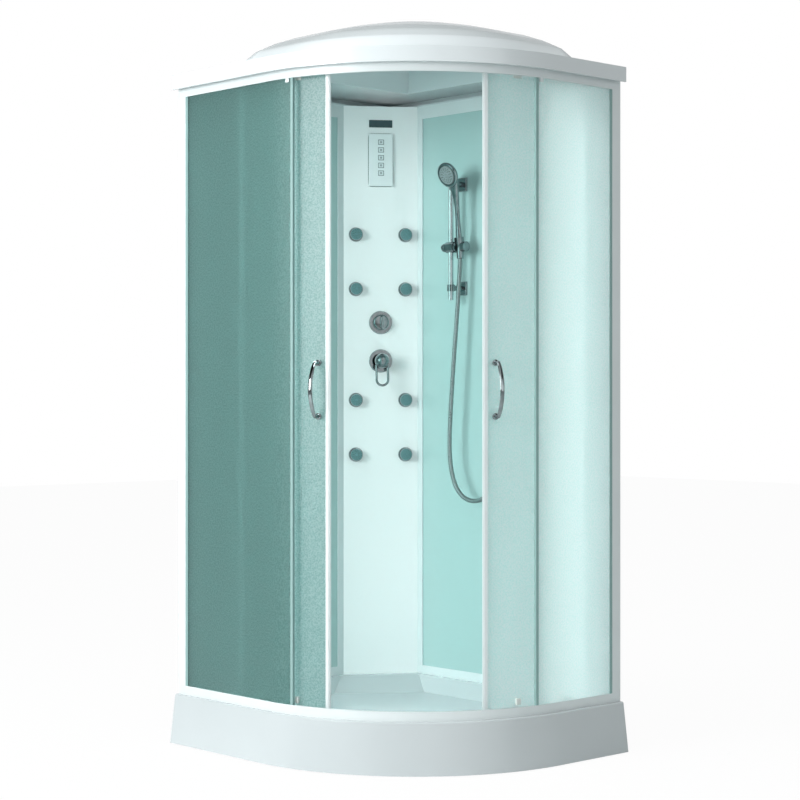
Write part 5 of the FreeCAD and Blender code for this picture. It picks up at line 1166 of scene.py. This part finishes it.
@dataclass
class ControlPanel:
    """The control panel with its keys, and the bare plate over it.

    Args:
        middle_mm: Height of the panel's middle.
        gasket_mm: Half the width, half the height and the line of the gasket round it.
        gasket_rise_mm: Where the gasket starts and ends, out from the column.
        key_middles_mm: Heights of the keys' middles.
        prints_mm: Half the width, half the height and the line of each border printed on a key.
        ink_mm: The same for the ink.
    """

    middle_mm: float = 1746.0
    gasket_mm: tuple[float, float, float] = (39.4, 83.4, 2.2)
    gasket_rise_mm: tuple[float, float] = (-0.2, 1.6)
    key_middles_mm: tuple[float, ...] = (1801.0, 1776.9, 1752.8, 1728.7, 1704.6)
    prints_mm: tuple[tuple[float, float, float], ...] = ((8.9, 7.9, 1.3), (2.6, 2.6, 1.2))
    ink_mm: tuple[float, float] = (10.1, 10.35)

    @staticmethod
    def border(maker: BMesh, middle: float, size: tuple[float, float, float], low: float,
               high: float) -> None:
        """Add a squared ring with rounded corners, flat on the column's face.

        Args:
            maker: Takes the faces.
            middle: Height of its middle.
            size: Half its width, half its height and the width of its line.
            low: Where it starts, out from the face.
            high: Where it ends.
        """
        wide, tall, line = size
        rings = [[on_column(out, x, middle + y)
                  for x, y in oval(2 * (wide - inset), 2 * (tall - inset), square=14.0, count=48)]
                 for inset, out in ((0.0, low), (0.0, high), (line, high), (line, low))]
        loop_rows(maker, [*rings, rings[0]], ends=False)

    def build(self) -> None:
        """Dress the panel, its keys and the plate, and add the gasket and the printed borders."""
        dress(SILVER_ABS, "control_box")
        dress(KEY_FILM, "control_keys")
        dress(DARK_FILM, "badge_plate")
        maker = bmesh.new()
        self.border(maker, self.middle_mm, self.gasket_mm, *self.gasket_rise_mm)
        settle(formed("control_panel_gasket", maker, DARK_RUBBER), "cabin", "seal_rubber")
        maker = bmesh.new()
        for middle in self.key_middles_mm:
            for size in self.prints_mm:
                self.border(maker, middle, size, *self.ink_mm)
        settle(formed("control_key_borders", maker, DARK_RUBBER), "cabin", "key_plastic")


@dataclass
class Shell:
    """Everything that stands still: tray, frames, glazing, column, roof and what is behind."""

    def build(self) -> None:
        """Dress all of it."""
        dress(ACRYLIC, "tray_shell")
        dress(ROOF_ACRYLIC, "roof_shell")
        dress(COLUMN_SHEET, "corner_column")
        dress(COATED, "bottom_rail", "header_rail", "wall_post_back", "wall_post_side", "back_wall_frame",
              "side_wall_frame", "glass_clips")
        dress(PALE_PVC, "glazing_seals")
        dress(CHROME, "frame_screws", "waste_cover")
        # The left fixed pane takes the shaded copy of the glass and the right one the lit copy: painted shade
        # and painted light.
        dress(GLASS_PAINTED_SHADE, "fixed_glass_left")
        dress(GLASS_PAINTED_LIGHT, "fixed_glass_right")
        dress(WALL_GLASS, "back_wall_glass", "side_wall_glass")
        dress(GALVANISED, "tray_frame")
        dress(BLACK_PP, "tray_feet", "waste_trap")
        dress(PIPE_PP, "water_manifold")


def main() -> None:
    """Build the scene in order."""
    Studio().build()
    ShowerHose().build()
    HandShower().build()
    Shell().build()
    Doors().build()
    BodyJets().build()
    Taps().build()
    ControlPanel().build()
    log.info("all pieces are in place")


if __name__ == "__main__":
    main()
